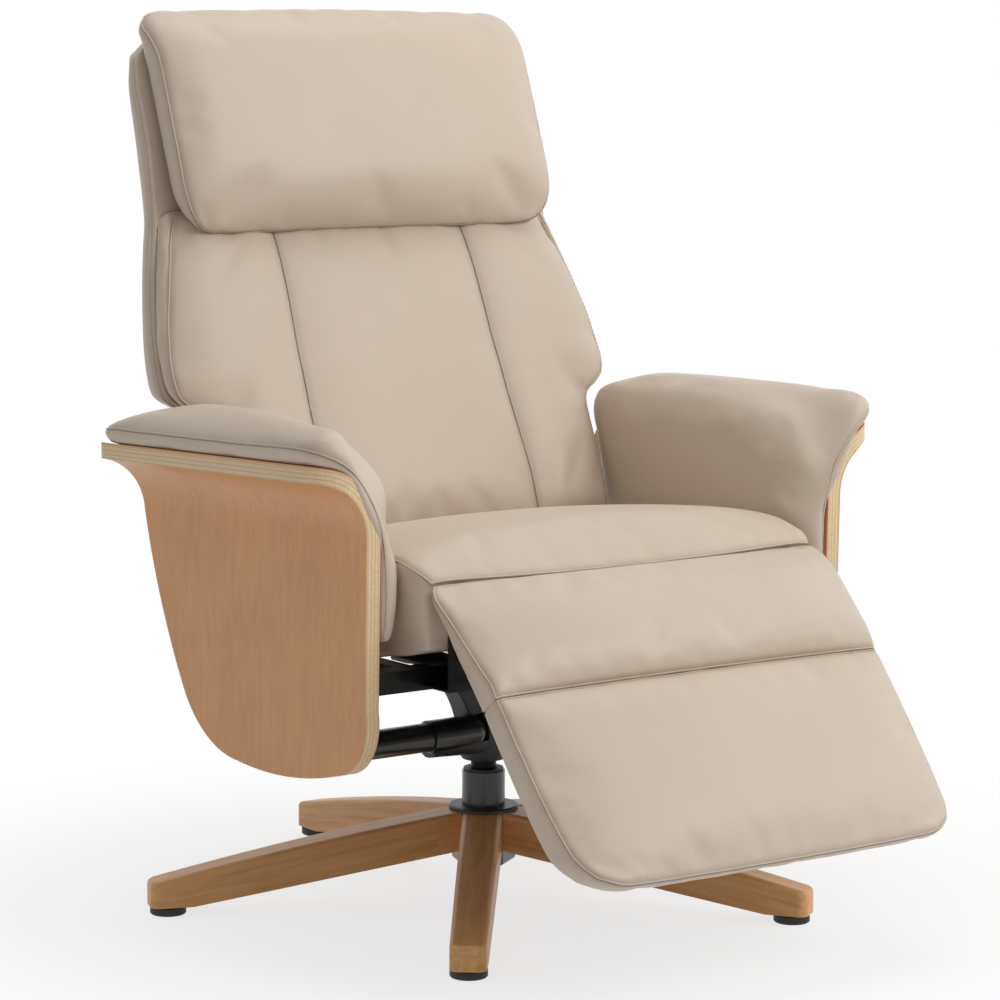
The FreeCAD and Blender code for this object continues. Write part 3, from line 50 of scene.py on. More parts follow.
MM = 0.001
SWIVEL_SET_BACK = 71.4
LEGREST_HINGE = (-264.0, 411.0)
UPPER_SLOPE = math.radians(54.0)
LOWER_RISE = math.radians(2.5)
FOLD_LINE = (145.0, -4.3)
PILLOW_FOOT = (236.5, 758.0)
PILLOW_LEAN = math.radians(20.2)


# Places and curves

def placed(points):
    """Millimetres round the swivel axis to metres in the row frame."""
    return (np.asarray(points, float) + (0.0, SWIVEL_SET_BACK, 0.0)) * MM


def stacked(x, y, z):
    x, y, z = np.broadcast_arrays(np.asarray(x, float), np.asarray(y, float), np.asarray(z, float))
    return np.stack([x, y, z], axis=-1)


def smooth_line(points, per_span=24):
    """Points along a curve that runs softly through the given ones."""
    p = np.asarray(points, float)
    if len(p) < 3:
        return p
    ends = np.vstack([2 * p[0] - p[1], p, 2 * p[-1] - p[-2]])
    out = []
    for k in range(len(p) - 1):
        a, b, c, d = ends[k:k + 4]
        t = np.linspace(0, 1, per_span, endpoint=False)[:, None]
        out.append(0.5 * (2 * b + (c - a) * t + (2 * a - 5 * b + 4 * c - d) * t ** 2
                          + (3 * b - a - 3 * c + d) * t ** 3))
    return np.vstack(out + [p[-1:]])


def evenly(points, count):
    """The same line with evenly spaced points."""
    p = np.asarray(points, float)
    run = np.concatenate([[0], np.cumsum(np.linalg.norm(np.diff(p, axis=0), axis=1))])
    want = np.linspace(0, run[-1], count)
    return np.stack([np.interp(want, run, p[:, k]) for k in range(p.shape[1])], axis=1)


def line(points, count):
    return evenly(smooth_line(points), count)


def mirrored(points):
    return np.asarray(points, float) * (-1, 1, 1)


def soft_start(distance, reach):
    return 1 - np.exp(-np.maximum(distance, 0) / reach)


# Padded forms. A face and a back are each stretched between four sides; boxing joins them.

def stretched(low, high, left, right):
    u = np.linspace(0, 1, len(low))[:, None, None]
    v = np.linspace(0, 1, len(left))[None, :, None]
    between = (1 - v) * low[:, None] + v * high[:, None] + (1 - u) * left[None] + u * right[None]
    corners = ((1 - u) * (1 - v) * low[0] + u * (1 - v) * low[-1]
               + (1 - u) * v * high[0] + u * v * high[-1])
    return between - corners


def rim(grid):
    """The edge of a grid, once round."""
    return np.vstack([grid[:, 0], grid[-1, 1:], grid[-2::-1, -1], grid[0, -2:0:-1]])


def rim_numbers(n, m, start):
    numbers = np.arange(n * m).reshape(n, m) + start
    return np.concatenate([numbers[:, 0], numbers[-1, 1:], numbers[-2::-1, -1], numbers[0, -2:0:-1]])


def grid_faces(numbers):
    a, b = numbers[:-1, :-1].ravel(), numbers[1:, :-1].ravel()
    c, d = numbers[1:, 1:].ravel(), numbers[:-1, 1:].ravel()
    return np.stack([a, b, c, d], axis=1)


def volume(points, quads):
    a, b, c, d = (points[quads[:, k]] for k in range(4))
    return float(np.einsum("ij,ij->i", a, np.cross(b, c)).sum() + np.einsum("ij,ij->i", a, np.cross(c, d)).sum())


def mesh_piece(name, points, quads, finish):
    quads = np.asarray(quads)
    if volume(points, quads) < 0:
        quads = quads[:, ::-1]
    mesh = bpy.data.meshes.new(name)
    mesh.from_pydata(points.tolist(), [], quads.tolist())
    mesh.polygons.foreach_set("use_smooth", [True] * len(mesh.polygons))
    mesh.materials.append(finish)
    mesh.update()
    piece = bpy.data.objects.new(name, mesh)
    scene.collection.objects.link(piece)
    return piece


def pad(name, face, back, finish, waist=(), rows=4, side_swell=3.0):
    """Cushion from its face and back grids. waist holds extra loops between the two rims."""
    n, m = face.shape[:2]
    loops = [rim(face), *waist, rim(back)]
    points, levels = [face.reshape(-1, 3)], [rim_numbers(n, m, 0)]
    count = n * m
    for number, (upper, lower) in enumerate(zip(loops[:-1], loops[1:])):
        steps = rows if len(loops) == 2 or number else 2
        tangent = np.roll(upper, -1, axis=0) - np.roll(upper, 1, axis=0)
        out = np.cross(tangent, lower - upper)
        out /= np.maximum(np.linalg.norm(out, axis=1, keepdims=True), 1e-9)
        if np.einsum("ij,ij->i", out, upper - upper.mean(axis=0)).sum() < 0:
            out = -out
        swell = side_swell if number == len(loops) - 2 else 0.0
        last = number == len(loops) - 2
        for step in range(1, steps if last else steps + 1):
            t = step / steps
            points.append(upper + (lower - upper) * t + out * swell * 4 * t * (1 - t))
            levels.append(np.arange(len(upper)) + count)
            count += len(upper)
    points.append(back.reshape(-1, 3))
    levels.append(rim_numbers(n, m, count))
    quads = [grid_faces(np.arange(n * m).reshape(n, m)),
             grid_faces(np.arange(n * m).reshape(n, m) + count)[:, ::-1]]
    for one, two in zip(levels[:-1], levels[1:]):
        quads.append(np.stack([one, two, np.roll(two, -1), np.roll(one, -1)], axis=1))
    piece = mesh_piece(name, placed(np.vstack(points)), np.vstack(quads), finish)
    hold = piece.vertex_groups.new(name="hold")
    hold.add([int(k) for k in np.concatenate([levels[0], np.arange(n * m) + count])], 1.0, "REPLACE")
    return piece


# Filling: a short cloth run blows each pad up between its held seams

def filled(pieces, most=0.008):
    start = {}
    for piece in pieces:
        co = np.zeros(len(piece.data.vertices) * 3)
        piece.data.vertices.foreach_get("co", co)
        start[piece] = co.reshape(-1, 3)
        cloth = piece.modifiers.new("Filling", "CLOTH")
        settings = cloth.settings
        settings.quality = 6
        settings.mass = 0.3
        settings.tension_stiffness = 25
        settings.compression_stiffness = 25
        settings.shear_stiffness = 12
        settings.bending_stiffness = 3
        settings.use_pressure = True
        settings.uniform_pressure_force = 4.0
        settings.vertex_group_mass = "hold"
        settings.effector_weights.gravity = 0.0
        settings.shrink_min = -0.012
        cloth.collision_settings.use_collision = False
        cloth.collision_settings.use_self_collision = False
        cloth.point_cache.frame_start, cloth.point_cache.frame_end = 1, 20
    for number in range(1, 21):
        scene.frame_set(number)
    graph = bpy.context.evaluated_depsgraph_get()
    for piece in pieces:
        shaped = piece.evaluated_get(graph).data
        co = np.zeros(len(shaped.vertices) * 3)
        shaped.vertices.foreach_get("co", co)
        moved = co.reshape(-1, 3) - start[piece]
        size = np.linalg.norm(moved, axis=1, keepdims=True)
        moved *= most * np.tanh(size / most) / np.maximum(size, 1e-9)
        piece.modifiers.remove(piece.modifiers["Filling"])
        piece.data.vertices.foreach_set("co", (start[piece] + moved).ravel())
        piece.data.update()
    scene.frame_set(1)


def divided(piece, levels=1):
    """The piece with its subdivision made part of the mesh."""
    extra = piece.modifiers.new("Rounding", "SUBSURF")
    extra.levels = extra.render_levels = levels
    graph = bpy.context.evaluated_depsgraph_get()
    mesh = bpy.data.meshes.new_from_object(piece.evaluated_get(graph))
    piece.modifiers.clear()
    old = piece.data
    piece.data = mesh
    bpy.data.meshes.remove(old)
    mesh.polygons.foreach_set("use_smooth", [True] * len(mesh.polygons))


def arrays(piece):
    count = len(piece.data.vertices)
    co, normal = np.zeros(count * 3), np.zeros(count * 3)
    piece.data.vertices.foreach_get("co", co)
    piece.data.vertex_normals.foreach_get("vector", normal)
    return co.reshape(-1, 3), normal.reshape(-1, 3)


def drawn_in(piece, seams, depth=1.6, width=3.6, pucker=0.35, seed=1):
    """Valleys along the seams with small puckers across them; stores how near each point is, which the leather uses
    for painted shade at the seams.
    """
    co, normal = arrays(piece)
    line_points, run = [], []
    for seam in seams:
        close = evenly(seam, max(8, int(np.linalg.norm(np.diff(seam, axis=0), axis=1).sum() / 0.002)))
        line_points.append(close)
        run.append(np.arange(len(close)) * 0.002)
    line_points, run = np.vstack(line_points), np.concatenate(run)
    tree = KDTree(len(line_points))
    for number, point in enumerate(line_points):
        tree.insert(point, number)
    tree.balance()
    found = [tree.find(point) for point in co]
    near = np.array([hit[2] for hit in found]) / MM
    place = run[[hit[1] for hit in found]] / MM
    chance = np.random.default_rng(seed)
    waves = sum(np.sin(place / length * 6.283 + phase) for length, phase in
                zip((9.0, 13.0, 17.0), chance.uniform(0, 6.283, 3))) / 2
    where = 0.5 + 0.5 * np.sin(place / 71.0 + chance.uniform(0, 6.283))
    push = -depth * np.exp(-(near / width) ** 2) + pucker * waves * where * np.exp(-((near - 5) / 5) ** 2)
    piece.data.vertices.foreach_set("co", (co + normal * (push * MM)[:, None]).ravel())
    crease_shade = piece.data.attributes.new("crease_shade", "FLOAT", "POINT")
    crease_shade.data.foreach_set("value", np.exp(-(near / 5.0) ** 2))
    piece.data.update()


def on_surface(piece, seam, lift=0.0):
    """The seam's line laid onto the finished piece."""
    co, _ = arrays(piece)
    tree = BVHTree.FromPolygons([tuple(p) for p in co], [tuple(p.vertices) for p in piece.data.polygons])
    start = evenly(seam, max(6, int(np.linalg.norm(np.diff(seam, axis=0), axis=1).sum() / 0.004)))
    moved = []
    for point in start:
        spot, normal, _, _ = tree.find_nearest(Vector(point))
        moved.append(tuple(spot + normal * lift * MM - Vector(point)))
    wide = np.pad(np.array(moved), ((3, 3), (0, 0)), mode="edge")
    return np.asarray(start) + sum(wide[k:k + len(moved)] for k in range(7)) / 7


# Materials

def finish_nodes(name):
    finish = bpy.data.materials.new(name)
    finish.use_nodes = True
    nodes = finish.node_tree.nodes
    return finish, nodes, finish.node_tree.links, nodes["Principled BSDF"]


def linear(red, green, blue):
    """A colour as seen on a screen, 0 to 255, for a colour socket."""
    def one(value):
        value /= 255
        return value / 12.92 if value <= 0.04045 else ((value + 0.055) / 1.055) ** 2.4
    return (one(red), one(green), one(blue), 1.0)


def node(nodes, kind, **values):
    made = nodes.new(kind)
    for key, value in values.items():
        if key in made.inputs:
            made.inputs[key].default_value = value
        else:
            setattr(made, key, value)
    return made


def ramp(nodes, links, source, stops):
    made = nodes.new("ShaderNodeValToRGB")
    made.color_ramp.elements[0].position, made.color_ramp.elements[0].color = stops[0]
    made.color_ramp.elements[1].position, made.color_ramp.elements[1].color = stops[-1]
    for position, colour in stops[1:-1]:
        made.color_ramp.elements.new(position).color = colour
    links.new(source, made.inputs["Fac"])
    return made.outputs["Color"]


def worked(nodes, links, operation, first, second=None, third=None):
    made = nodes.new("ShaderNodeMath")
    made.operation = operation
    for socket, value in zip(made.inputs, (first, second, third)):
        if value is None:
            continue
        if isinstance(value, (int, float)):
            socket.default_value = value
        else:
            links.new(value, socket)
    return made.outputs[0]


def mixed(nodes, links, amount, first, second, kind="MIX"):
    made = nodes.new("ShaderNodeMix")
    made.data_type = "RGBA"
    made.blend_type = kind
    for socket, value in ((made.inputs[0], amount), (made.inputs[6], first), (made.inputs[7], second)):
        if isinstance(value, (int, float, tuple)):
            socket.default_value = value
        else:
            links.new(value, socket)
    return made.outputs[2]


def bumped(nodes, links, shader, height, distance, strength=0.5, under=None):
    made = nodes.new("ShaderNodeBump")
    made.inputs["Strength"].default_value = strength
    made.inputs["Distance"].default_value = distance
    links.new(height, made.inputs["Height"])
    if under is not None:
        links.new(under, made.inputs["Normal"])
    links.new(made.outputs["Normal"], shader.inputs["Normal"])
    return made.outputs["Normal"]


def leather_finish(name="leather", shade=1.0):
    finish, nodes, links, shader = finish_nodes(name)
    where = nodes.new("ShaderNodeTexCoord").outputs["Object"]
    clouds = node(nodes, "ShaderNodeTexNoise", Scale=5.0, Detail=3.0, Roughness=0.5)
    links.new(where, clouds.inputs["Vector"])
    tones = [tuple(c * shade for c in linear(*rgb)[:3]) + (1.0,) for rgb in ((203, 187, 169), (209, 193, 176))]
    tone = ramp(nodes, links, clouds.outputs["Fac"], [(0.32, tones[0]), (0.68, tones[1])])
    pores = node(nodes, "ShaderNodeTexVoronoi", Scale=620.0, Randomness=1.0)
    links.new(where, pores.inputs["Vector"])
    fine = node(nodes, "ShaderNodeTexNoise", Scale=1500.0, Detail=2.0)
    links.new(where, fine.inputs["Vector"])
    speck = worked(nodes, links, "MULTIPLY", fine.outputs["Fac"], 0.08)
    tone = mixed(nodes, links, speck, tone, tuple(c * 0.72 for c in tones[0][:3]) + (1.0,))
    # Painted shade: the leather is darkened toward a brown near the seams, standing in for the shade in the seam
    # valleys.
    crease_shade = node(nodes, "ShaderNodeAttribute", attribute_name="crease_shade")
    seam_shade = worked(nodes, links, "MULTIPLY", crease_shade.outputs["Fac"], 0.38)
    tone = mixed(nodes, links, seam_shade, tone, linear(138, 116, 96))
    links.new(tone, shader.inputs["Base Color"])
    matt = node(nodes, "ShaderNodeMapRange")
    matt.inputs["To Min"].default_value, matt.inputs["To Max"].default_value = 0.38, 0.48
    links.new(clouds.outputs["Fac"], matt.inputs["Value"])
    links.new(matt.outputs["Result"], shader.inputs["Roughness"])
    shader.inputs["Specular IOR Level"].default_value = 0.38
    shader.inputs["Sheen Weight"].default_value = 0.08
    shader.inputs["Sheen Roughness"].default_value = 0.5
    grain = bumped(nodes, links, shader, pores.outputs["Distance"], 0.00035, 0.28)
    slow = node(nodes, "ShaderNodeTexNoise", Scale=38.0, Detail=3.0)
    links.new(where, slow.inputs["Vector"])
    bumped(nodes, links, shader, slow.outputs["Fac"], 0.0012, 0.22, grain)
    return finish


def wood_finish(name, pale, dark, grain_along, figure=1.0):
    """Close straight grain; grain_along gives the stretch of the pattern on x, y and z."""
    finish, nodes, links, shader = finish_nodes(name)
    where = nodes.new("ShaderNodeTexCoord").outputs["Object"]
    turn = nodes.new("ShaderNodeMapping")
    turn.inputs["Scale"].default_value = grain_along
    links.new(where, turn.inputs["Vector"])
    streaks = node(nodes, "ShaderNodeTexNoise", Scale=1.0, Detail=6.0, Roughness=0.62, Distortion=0.15)
    links.new(turn.outputs["Vector"], streaks.inputs["Vector"])
    broad = node(nodes, "ShaderNodeTexNoise", Scale=9.0, Detail=2.0)
    links.new(where, broad.inputs["Vector"])
    both = worked(nodes, links, "MULTIPLY_ADD", broad.outputs["Fac"], 0.45 * figure,
                  worked(nodes, links, "MULTIPLY", streaks.outputs["Fac"], 0.75))
    tone = ramp(nodes, links, both, [(0.32, linear(*dark)), (0.78, linear(*pale))])
    links.new(tone, shader.inputs["Base Color"])
    shader.inputs["Roughness"].default_value = 0.42
    shader.inputs["Specular IOR Level"].default_value = 0.42
    bumped(nodes, links, shader, streaks.outputs["Fac"], 0.0004, 0.25)
    return finish, nodes, links, shader, where, tone


def panel_finish():
    """Veneered face, and bare layers where the bent sheet's edge shows."""
    finish, nodes, links, shader, where, face = wood_finish(
        "panel_wood", (228, 170, 115), (207, 148, 95), (130.0, 130.0, 22.0), 0.8)
    apart = nodes.new("ShaderNodeSeparateXYZ")
    links.new(where, apart.inputs["Vector"])
    away = worked(nodes, links, "SUBTRACT", 0.388, worked(nodes, links, "ABSOLUTE", apart.outputs["X"]))
    slope = worked(nodes, links, "MULTIPLY", worked(nodes, links, "SUBTRACT", 0.216 + SWIVEL_SET_BACK * MM,
                                                    apart.outputs["Y"]), 0.035)
    rise = worked(nodes, links, "SUBTRACT", worked(nodes, links, "SUBTRACT", apart.outputs["Z"], 0.452), slope)
    rise = worked(nodes, links, "MAXIMUM", rise, 0.0)
    depth = worked(nodes, links, "SQRT", worked(nodes, links, "ADD", worked(nodes, links, "MULTIPLY", away, away),
                                                worked(nodes, links, "MULTIPLY", rise, rise)))
    layer = worked(nodes, links, "DIVIDE", worked(nodes, links, "SUBTRACT", depth, 0.060), 0.018)
    inside = worked(nodes, links, "MULTIPLY", worked(nodes, links, "GREATER_THAN", layer, 0.075),
                    worked(nodes, links, "LESS_THAN", layer, 0.955))
    saw = worked(nodes, links, "FRACT", worked(nodes, links, "MULTIPLY", layer, 4.0))
    edge_line = worked(nodes, links, "LESS_THAN", worked(nodes, links, "ABSOLUTE",
                       worked(nodes, links, "SUBTRACT", saw, 0.5)), 0.11)
    fibre = node(nodes, "ShaderNodeTexNoise", Scale=420.0, Detail=3.0)
    links.new(where, fibre.inputs["Vector"])
    ply = ramp(nodes, links, fibre.outputs["Fac"], [(0.3, linear(224, 196, 154)), (0.7, linear(238, 214, 176))])
    ply = mixed(nodes, links, worked(nodes, links, "MULTIPLY", edge_line, 0.5), ply, linear(186, 144, 100))
    links.new(mixed(nodes, links, inside, face, ply), shader.inputs["Base Color"])
    return finish


def leg_finish():
    """The grain runs out along each leg, so the pattern follows the distance from the axis."""
    finish, nodes, links, shader = finish_nodes("leg_wood")
    where = nodes.new("ShaderNodeTexCoord").outputs["Object"]
    centred = nodes.new("ShaderNodeMapping")
    centred.inputs["Location"].default_value = (0, -SWIVEL_SET_BACK * MM, 0)
    links.new(where, centred.inputs["Vector"])
    apart = nodes.new("ShaderNodeSeparateXYZ")
    links.new(centred.outputs["Vector"], apart.inputs["Vector"])
    around = worked(nodes, links, "ARCTAN2", apart.outputs["Y"], apart.outputs["X"])
    turns = worked(nodes, links, "MULTIPLY", worked(nodes, links, "SUBTRACT", around, math.radians(159.4)),
                   5 / math.tau)
    off = worked(nodes, links, "MULTIPLY", worked(nodes, links, "SUBTRACT", turns,
                 worked(nodes, links, "ROUND", turns)), math.tau / 5)
    reach = worked(nodes, links, "SQRT", worked(nodes, links, "ADD",
                   worked(nodes, links, "MULTIPLY", apart.outputs["X"], apart.outputs["X"]),
                   worked(nodes, links, "MULTIPLY", apart.outputs["Y"], apart.outputs["Y"])))
    across = worked(nodes, links, "MULTIPLY", worked(nodes, links, "SINE", off), reach)
    own = nodes.new("ShaderNodeCombineXYZ")
    links.new(worked(nodes, links, "MULTIPLY_ADD", worked(nodes, links, "ROUND", turns), 3.7, reach),
              own.inputs["X"])
    links.new(across, own.inputs["Y"])
    links.new(worked(nodes, links, "MULTIPLY_ADD", reach, 0.18, apart.outputs["Z"]), own.inputs["Z"])
    stretch = nodes.new("ShaderNodeMapping")
    stretch.inputs["Scale"].default_value = (9.0, 150.0, 150.0)
    links.new(own.outputs["Vector"], stretch.inputs["Vector"])
    streaks = node(nodes, "ShaderNodeTexNoise", Scale=1.0, Detail=6.0, Roughness=0.6, Distortion=0.3)
    links.new(stretch.outputs["Vector"], streaks.inputs["Vector"])
    tone = ramp(nodes, links, streaks.outputs["Fac"],
                [(0.30, linear(206, 148, 90)), (0.52, linear(226, 170, 110)), (0.75, linear(238, 188, 128))])
    links.new(tone, shader.inputs["Base Color"])
    shader.inputs["Roughness"].default_value = 0.40
    shader.inputs["Specular IOR Level"].default_value = 0.45
    bumped(nodes, links, shader, streaks.outputs["Fac"], 0.0004, 0.3)
    return finish


def plain_finish(name, rgb, metallic, rough, bump_scale, bump_depth, wear=0.15, coat=0.0):
    """Painted, plated or moulded surfaces: slightly uneven tone, fine surface and gloss."""
    finish, nodes, links, shader = finish_nodes(name)
    where = nodes.new("ShaderNodeTexCoord").outputs["Object"]
    cloud = node(nodes, "ShaderNodeTexNoise", Scale=24.0, Detail=4.0)
    links.new(where, cloud.inputs["Vector"])
    base = linear(*rgb)
    low = tuple(c * (1 - wear) for c in base[:3]) + (1.0,)
    high = tuple(min(1.0, c * (1 + wear)) for c in base[:3]) + (1.0,)
    links.new(ramp(nodes, links, cloud.outputs["Fac"], [(0.3, low), (0.7, high)]), shader.inputs["Base Color"])
    gloss = node(nodes, "ShaderNodeMapRange")
    gloss.inputs["To Min"].default_value, gloss.inputs["To Max"].default_value = rough * 0.85, rough * 1.15
    links.new(cloud.outputs["Fac"], gloss.inputs["Value"])
    links.new(gloss.outputs["Result"], shader.inputs["Roughness"])
    shader.inputs["Metallic"].default_value = metallic
    shader.inputs["Coat Weight"].default_value = coat
    skin = node(nodes, "ShaderNodeTexNoise", Scale=bump_scale, Detail=3.0)
    links.new(where, skin.inputs["Vector"])
    bumped(nodes, links, shader, skin.outputs["Fac"], bump_depth, 0.4)
    return finish


def webbing_finish():
    """Woven elastic bands: fine ribs both ways."""
    finish, nodes, links, shader = finish_nodes("webbing")
    where = nodes.new("ShaderNodeTexCoord").outputs["Object"]
    apart = nodes.new("ShaderNodeSeparateXYZ")
    links.new(where, apart.inputs["Vector"])
    ribs = []
    for axis, pitch in (("X", 2600.0), ("Y", 3400.0)):
        wave = worked(nodes, links, "SINE", worked(nodes, links, "MULTIPLY", apart.outputs[axis], pitch))
        ribs.append(wave)
    weave = worked(nodes, links, "MULTIPLY", ribs[0], ribs[1])
    level = worked(nodes, links, "MULTIPLY_ADD", weave, 0.5, 0.5)
    links.new(ramp(nodes, links, level, [(0.2, linear(34, 34, 36)), (0.9, linear(66, 66, 69))]),
              shader.inputs["Base Color"])
    shader.inputs["Roughness"].default_value = 0.85
    bumped(nodes, links, shader, level, 0.0004, 0.6)
    return finish


LEATHER = leather_finish()
# Painted shade: a darkened copy of the leather for the strands that stand in for the shade in seam folds and channel
# valleys.
PAINTED_FOLD_SHADE = leather_finish("leather_fold", 0.42)
THREAD = plain_finish("thread", (196, 178, 158), 0.0, 0.7, 2400.0, 0.0002)
FINISHES = {
    "leather": LEATHER,
    "panel_wood": panel_finish(),
    "leg_wood": leg_finish(),
    "board_wood": wood_finish("board_wood", (214, 186, 146), (188, 156, 116), (14.0, 160.0, 160.0))[0],
    "black_metal": plain_finish("black_metal", (21, 22, 23), 0.0, 0.32, 900.0, 0.0001, 0.2, 0.3),
    "flange_paint": plain_finish("flange_paint", (44, 47, 50), 0.35, 0.42, 900.0, 0.0001),
    "casting": plain_finish("casting", (50, 53, 54), 0.25, 0.50, 650.0, 0.0005),
    "steel": plain_finish("steel", (150, 152, 154), 1.0, 0.34, 1200.0, 0.0001),
    "black_plastic": plain_finish("black_plastic", (22, 22, 23), 0.0, 0.55, 1400.0, 0.0002),
    "webbing": webbing_finish(),
}
BLACKENED = plain_finish("blackened_steel", (26, 27, 28), 1.0, 0.4, 1200.0, 0.0001)
for subpart in frame["record"]["subparts"]:
    shown = frame["nodes"][subpart["node"]]
    for place in shown.material_slots:
        place.material = BLACKENED if subpart["node"] == "spindle" else FINISHES[subpart["material_slot"]]


# Seams: a thin rolled ridge and a row of stitches; a dark strand of painted shade is laid beside the ridge where the
# fold is

def seam_tree():
    tree = bpy.data.node_groups.new("sewn_seam", "GeometryNodeTree")
    face = tree.interface
    face.new_socket("Geometry", in_out="INPUT", socket_type="NodeSocketGeometry")
    sockets = {}
    for name, value in (("Ridge Radius", 0.0012), ("Stitch Length", 0.0034), ("Stitch Pitch", 0.0052),
                        ("Stitch Radius", 0.0003)):
        made = face.new_socket(name, in_out="INPUT", socket_type="NodeSocketFloat")
        made.default_value = value
        sockets[name] = made.identifier
    for name in ("Ridge", "Stitch"):
        sockets[name] = face.new_socket(name, in_out="INPUT", socket_type="NodeSocketMaterial").identifier
    face.new_socket("Geometry", in_out="OUTPUT", socket_type="NodeSocketGeometry")
    nodes, links = tree.nodes, tree.links
    given, result = nodes.new("NodeGroupInput"), nodes.new("NodeGroupOutput")
    path = nodes.new("GeometryNodeMeshToCurve")
    links.new(given.outputs["Geometry"], path.inputs["Mesh"])
    round_bar = nodes.new("GeometryNodeCurvePrimitiveCircle")
    round_bar.inputs["Resolution"].default_value = 8
    links.new(given.outputs["Ridge Radius"], round_bar.inputs["Radius"])
    ridge = nodes.new("GeometryNodeCurveToMesh")
    ridge.inputs["Fill Caps"].default_value = True
    links.new(path.outputs["Curve"], ridge.inputs["Curve"])
    links.new(round_bar.outputs["Curve"], ridge.inputs["Profile Curve"])
    ridge_look = nodes.new("GeometryNodeSetMaterial")
    links.new(ridge.outputs["Mesh"], ridge_look.inputs["Geometry"])
    links.new(given.outputs["Ridge"], ridge_look.inputs["Material"])
    spots = nodes.new("GeometryNodeCurveToPoints")
    spots.mode = "LENGTH"
    links.new(path.outputs["Curve"], spots.inputs["Curve"])
    links.new(given.outputs["Stitch Pitch"], spots.inputs["Length"])
    stitch = nodes.new("GeometryNodeMeshCylinder")
    stitch.inputs["Vertices"].default_value = 6
    links.new(given.outputs["Stitch Radius"], stitch.inputs["Radius"])
    links.new(given.outputs["Stitch Length"], stitch.inputs["Depth"])
    lie = nodes.new("GeometryNodeInstanceOnPoints")
    links.new(spots.outputs["Points"], lie.inputs["Points"])
    links.new(stitch.outputs["Mesh"], lie.inputs["Instance"])
    links.new(spots.outputs["Rotation"], lie.inputs["Rotation"])
    lift = nodes.new("GeometryNodeTranslateInstances")
    links.new(lie.outputs["Instances"], lift.inputs["Instances"])
    aside = nodes.new("ShaderNodeCombineXYZ")
    links.new(given.outputs["Ridge Radius"], aside.inputs["X"])
    links.new(aside.outputs["Vector"], lift.inputs["Translation"])
    solid = nodes.new("GeometryNodeRealizeInstances")
    links.new(lift.outputs["Instances"], solid.inputs["Geometry"])
    stitch_look = nodes.new("GeometryNodeSetMaterial")
    links.new(solid.outputs["Geometry"], stitch_look.inputs["Geometry"])
    links.new(given.outputs["Stitch"], stitch_look.inputs["Material"])
    whole = nodes.new("GeometryNodeJoinGeometry")
    links.new(stitch_look.outputs["Geometry"], whole.inputs["Geometry"])
    links.new(ridge_look.outputs["Geometry"], whole.inputs["Geometry"])
    links.new(whole.outputs["Geometry"], result.inputs["Geometry"])
    return tree, sockets


SEAM_TREE, SEAM_SOCKETS = seam_tree()


def sewn(name, lines, ridge_finish=None, radius=0.0012, stitches=False):
    """Ridges along lines that already lie on a piece, as one plain mesh."""
    points, edges = [], []
    for one in lines:
        edges += [(len(points) + k, len(points) + k + 1) for k in range(len(one) - 1)]
        points += [tuple(p) for p in one]
    mesh = bpy.data.meshes.new(name + "_line")
    mesh.from_pydata(points, edges, [])
    guide = bpy.data.objects.new(name + "_line", mesh)
    scene.collection.objects.link(guide)
    maker = guide.modifiers.new("Seam", "NODES")
    maker.node_group = SEAM_TREE
    maker[SEAM_SOCKETS["Ridge Radius"]] = radius
    maker[SEAM_SOCKETS["Stitch Radius"]] = 0.00035 if stitches else 0.00001
    maker[SEAM_SOCKETS["Stitch Pitch"]] = 0.0052 if stitches else 10.0
    maker[SEAM_SOCKETS["Ridge"]] = ridge_finish or LEATHER
    maker[SEAM_SOCKETS["Stitch"]] = THREAD
    graph = bpy.context.evaluated_depsgraph_get()
    made = bpy.data.meshes.new_from_object(guide.evaluated_get(graph))
    bpy.data.objects.remove(guide)
    made.name = name
    made.polygons.foreach_set("use_smooth", [True] * len(made.polygons))
    piece = bpy.data.objects.new(name, made)
    scene.collection.objects.link(piece)
    return piece


# Seat cushion

def seat_pad():
    side = line([(-262, 66, 412), (-266, 0, 420), (-267, -100, 432), (-268, -190, 439), (-269, -226, 436),
                 (-268, -250, 429.5), (-262, -265, 419)], 38)
    front = line([(-262, -265, 419), (-232, -267, 421.5), (-120, -268.5, 419.5), (0, -269, 418.5),
                  (120, -268.5, 419.5), (232, -267, 421.5), (262, -265, 419)], 58)
    rear = line([(-262, 66, 412), (0, 70, 418), (262, 66, 412)], 58)
    face = stretched(rear, front, side, mirrored(side))
    x, y = face[..., 0], face[..., 1]
    across = np.abs(x) / 267
    crown = 16 * (1 - across ** 3.2) * soft_start(y + 268, 20) * soft_start(70 - y, 22)
    face = face + stacked(0, -0.25, 1) * crown[..., None]
    under_side = line([(-260, 62, 323.6), (-260, -100, 323.6), (-260, -190, 331), (-259, -252, 346)], 38)
    under = stretched(line([(-260, 62, 323.6), (0, 62, 323.6), (260, 62, 323.6)], 58),
                      line([(-259, -252, 346), (0, -252, 346), (259, -252, 346)], 58),
                      under_side, mirrored(under_side))
    lip = rim(face).copy()
    fore = lip[:, 1] < -225
    lip[:, 2] -= 8
    lip[fore, 1] = np.maximum(lip[fore, 1], -255.5)
    return pad("seat_cushion_leather", face, under, LEATHER, waist=[lip], rows=9, side_swell=4.0)


# Legrest, drawn along its back face and turned down about the hinge at the seat

def on_upper(points):
    p = np.asarray(points, float)
    along, out = p[..., 1], p[..., 2]
    y = LEGREST_HINGE[0] - along * math.cos(UPPER_SLOPE) - out * math.sin(UPPER_SLOPE)
    z = LEGREST_HINGE[1] - along * math.sin(UPPER_SLOPE) + out * math.cos(UPPER_SLOPE)
    return stacked(p[..., 0], y, z)


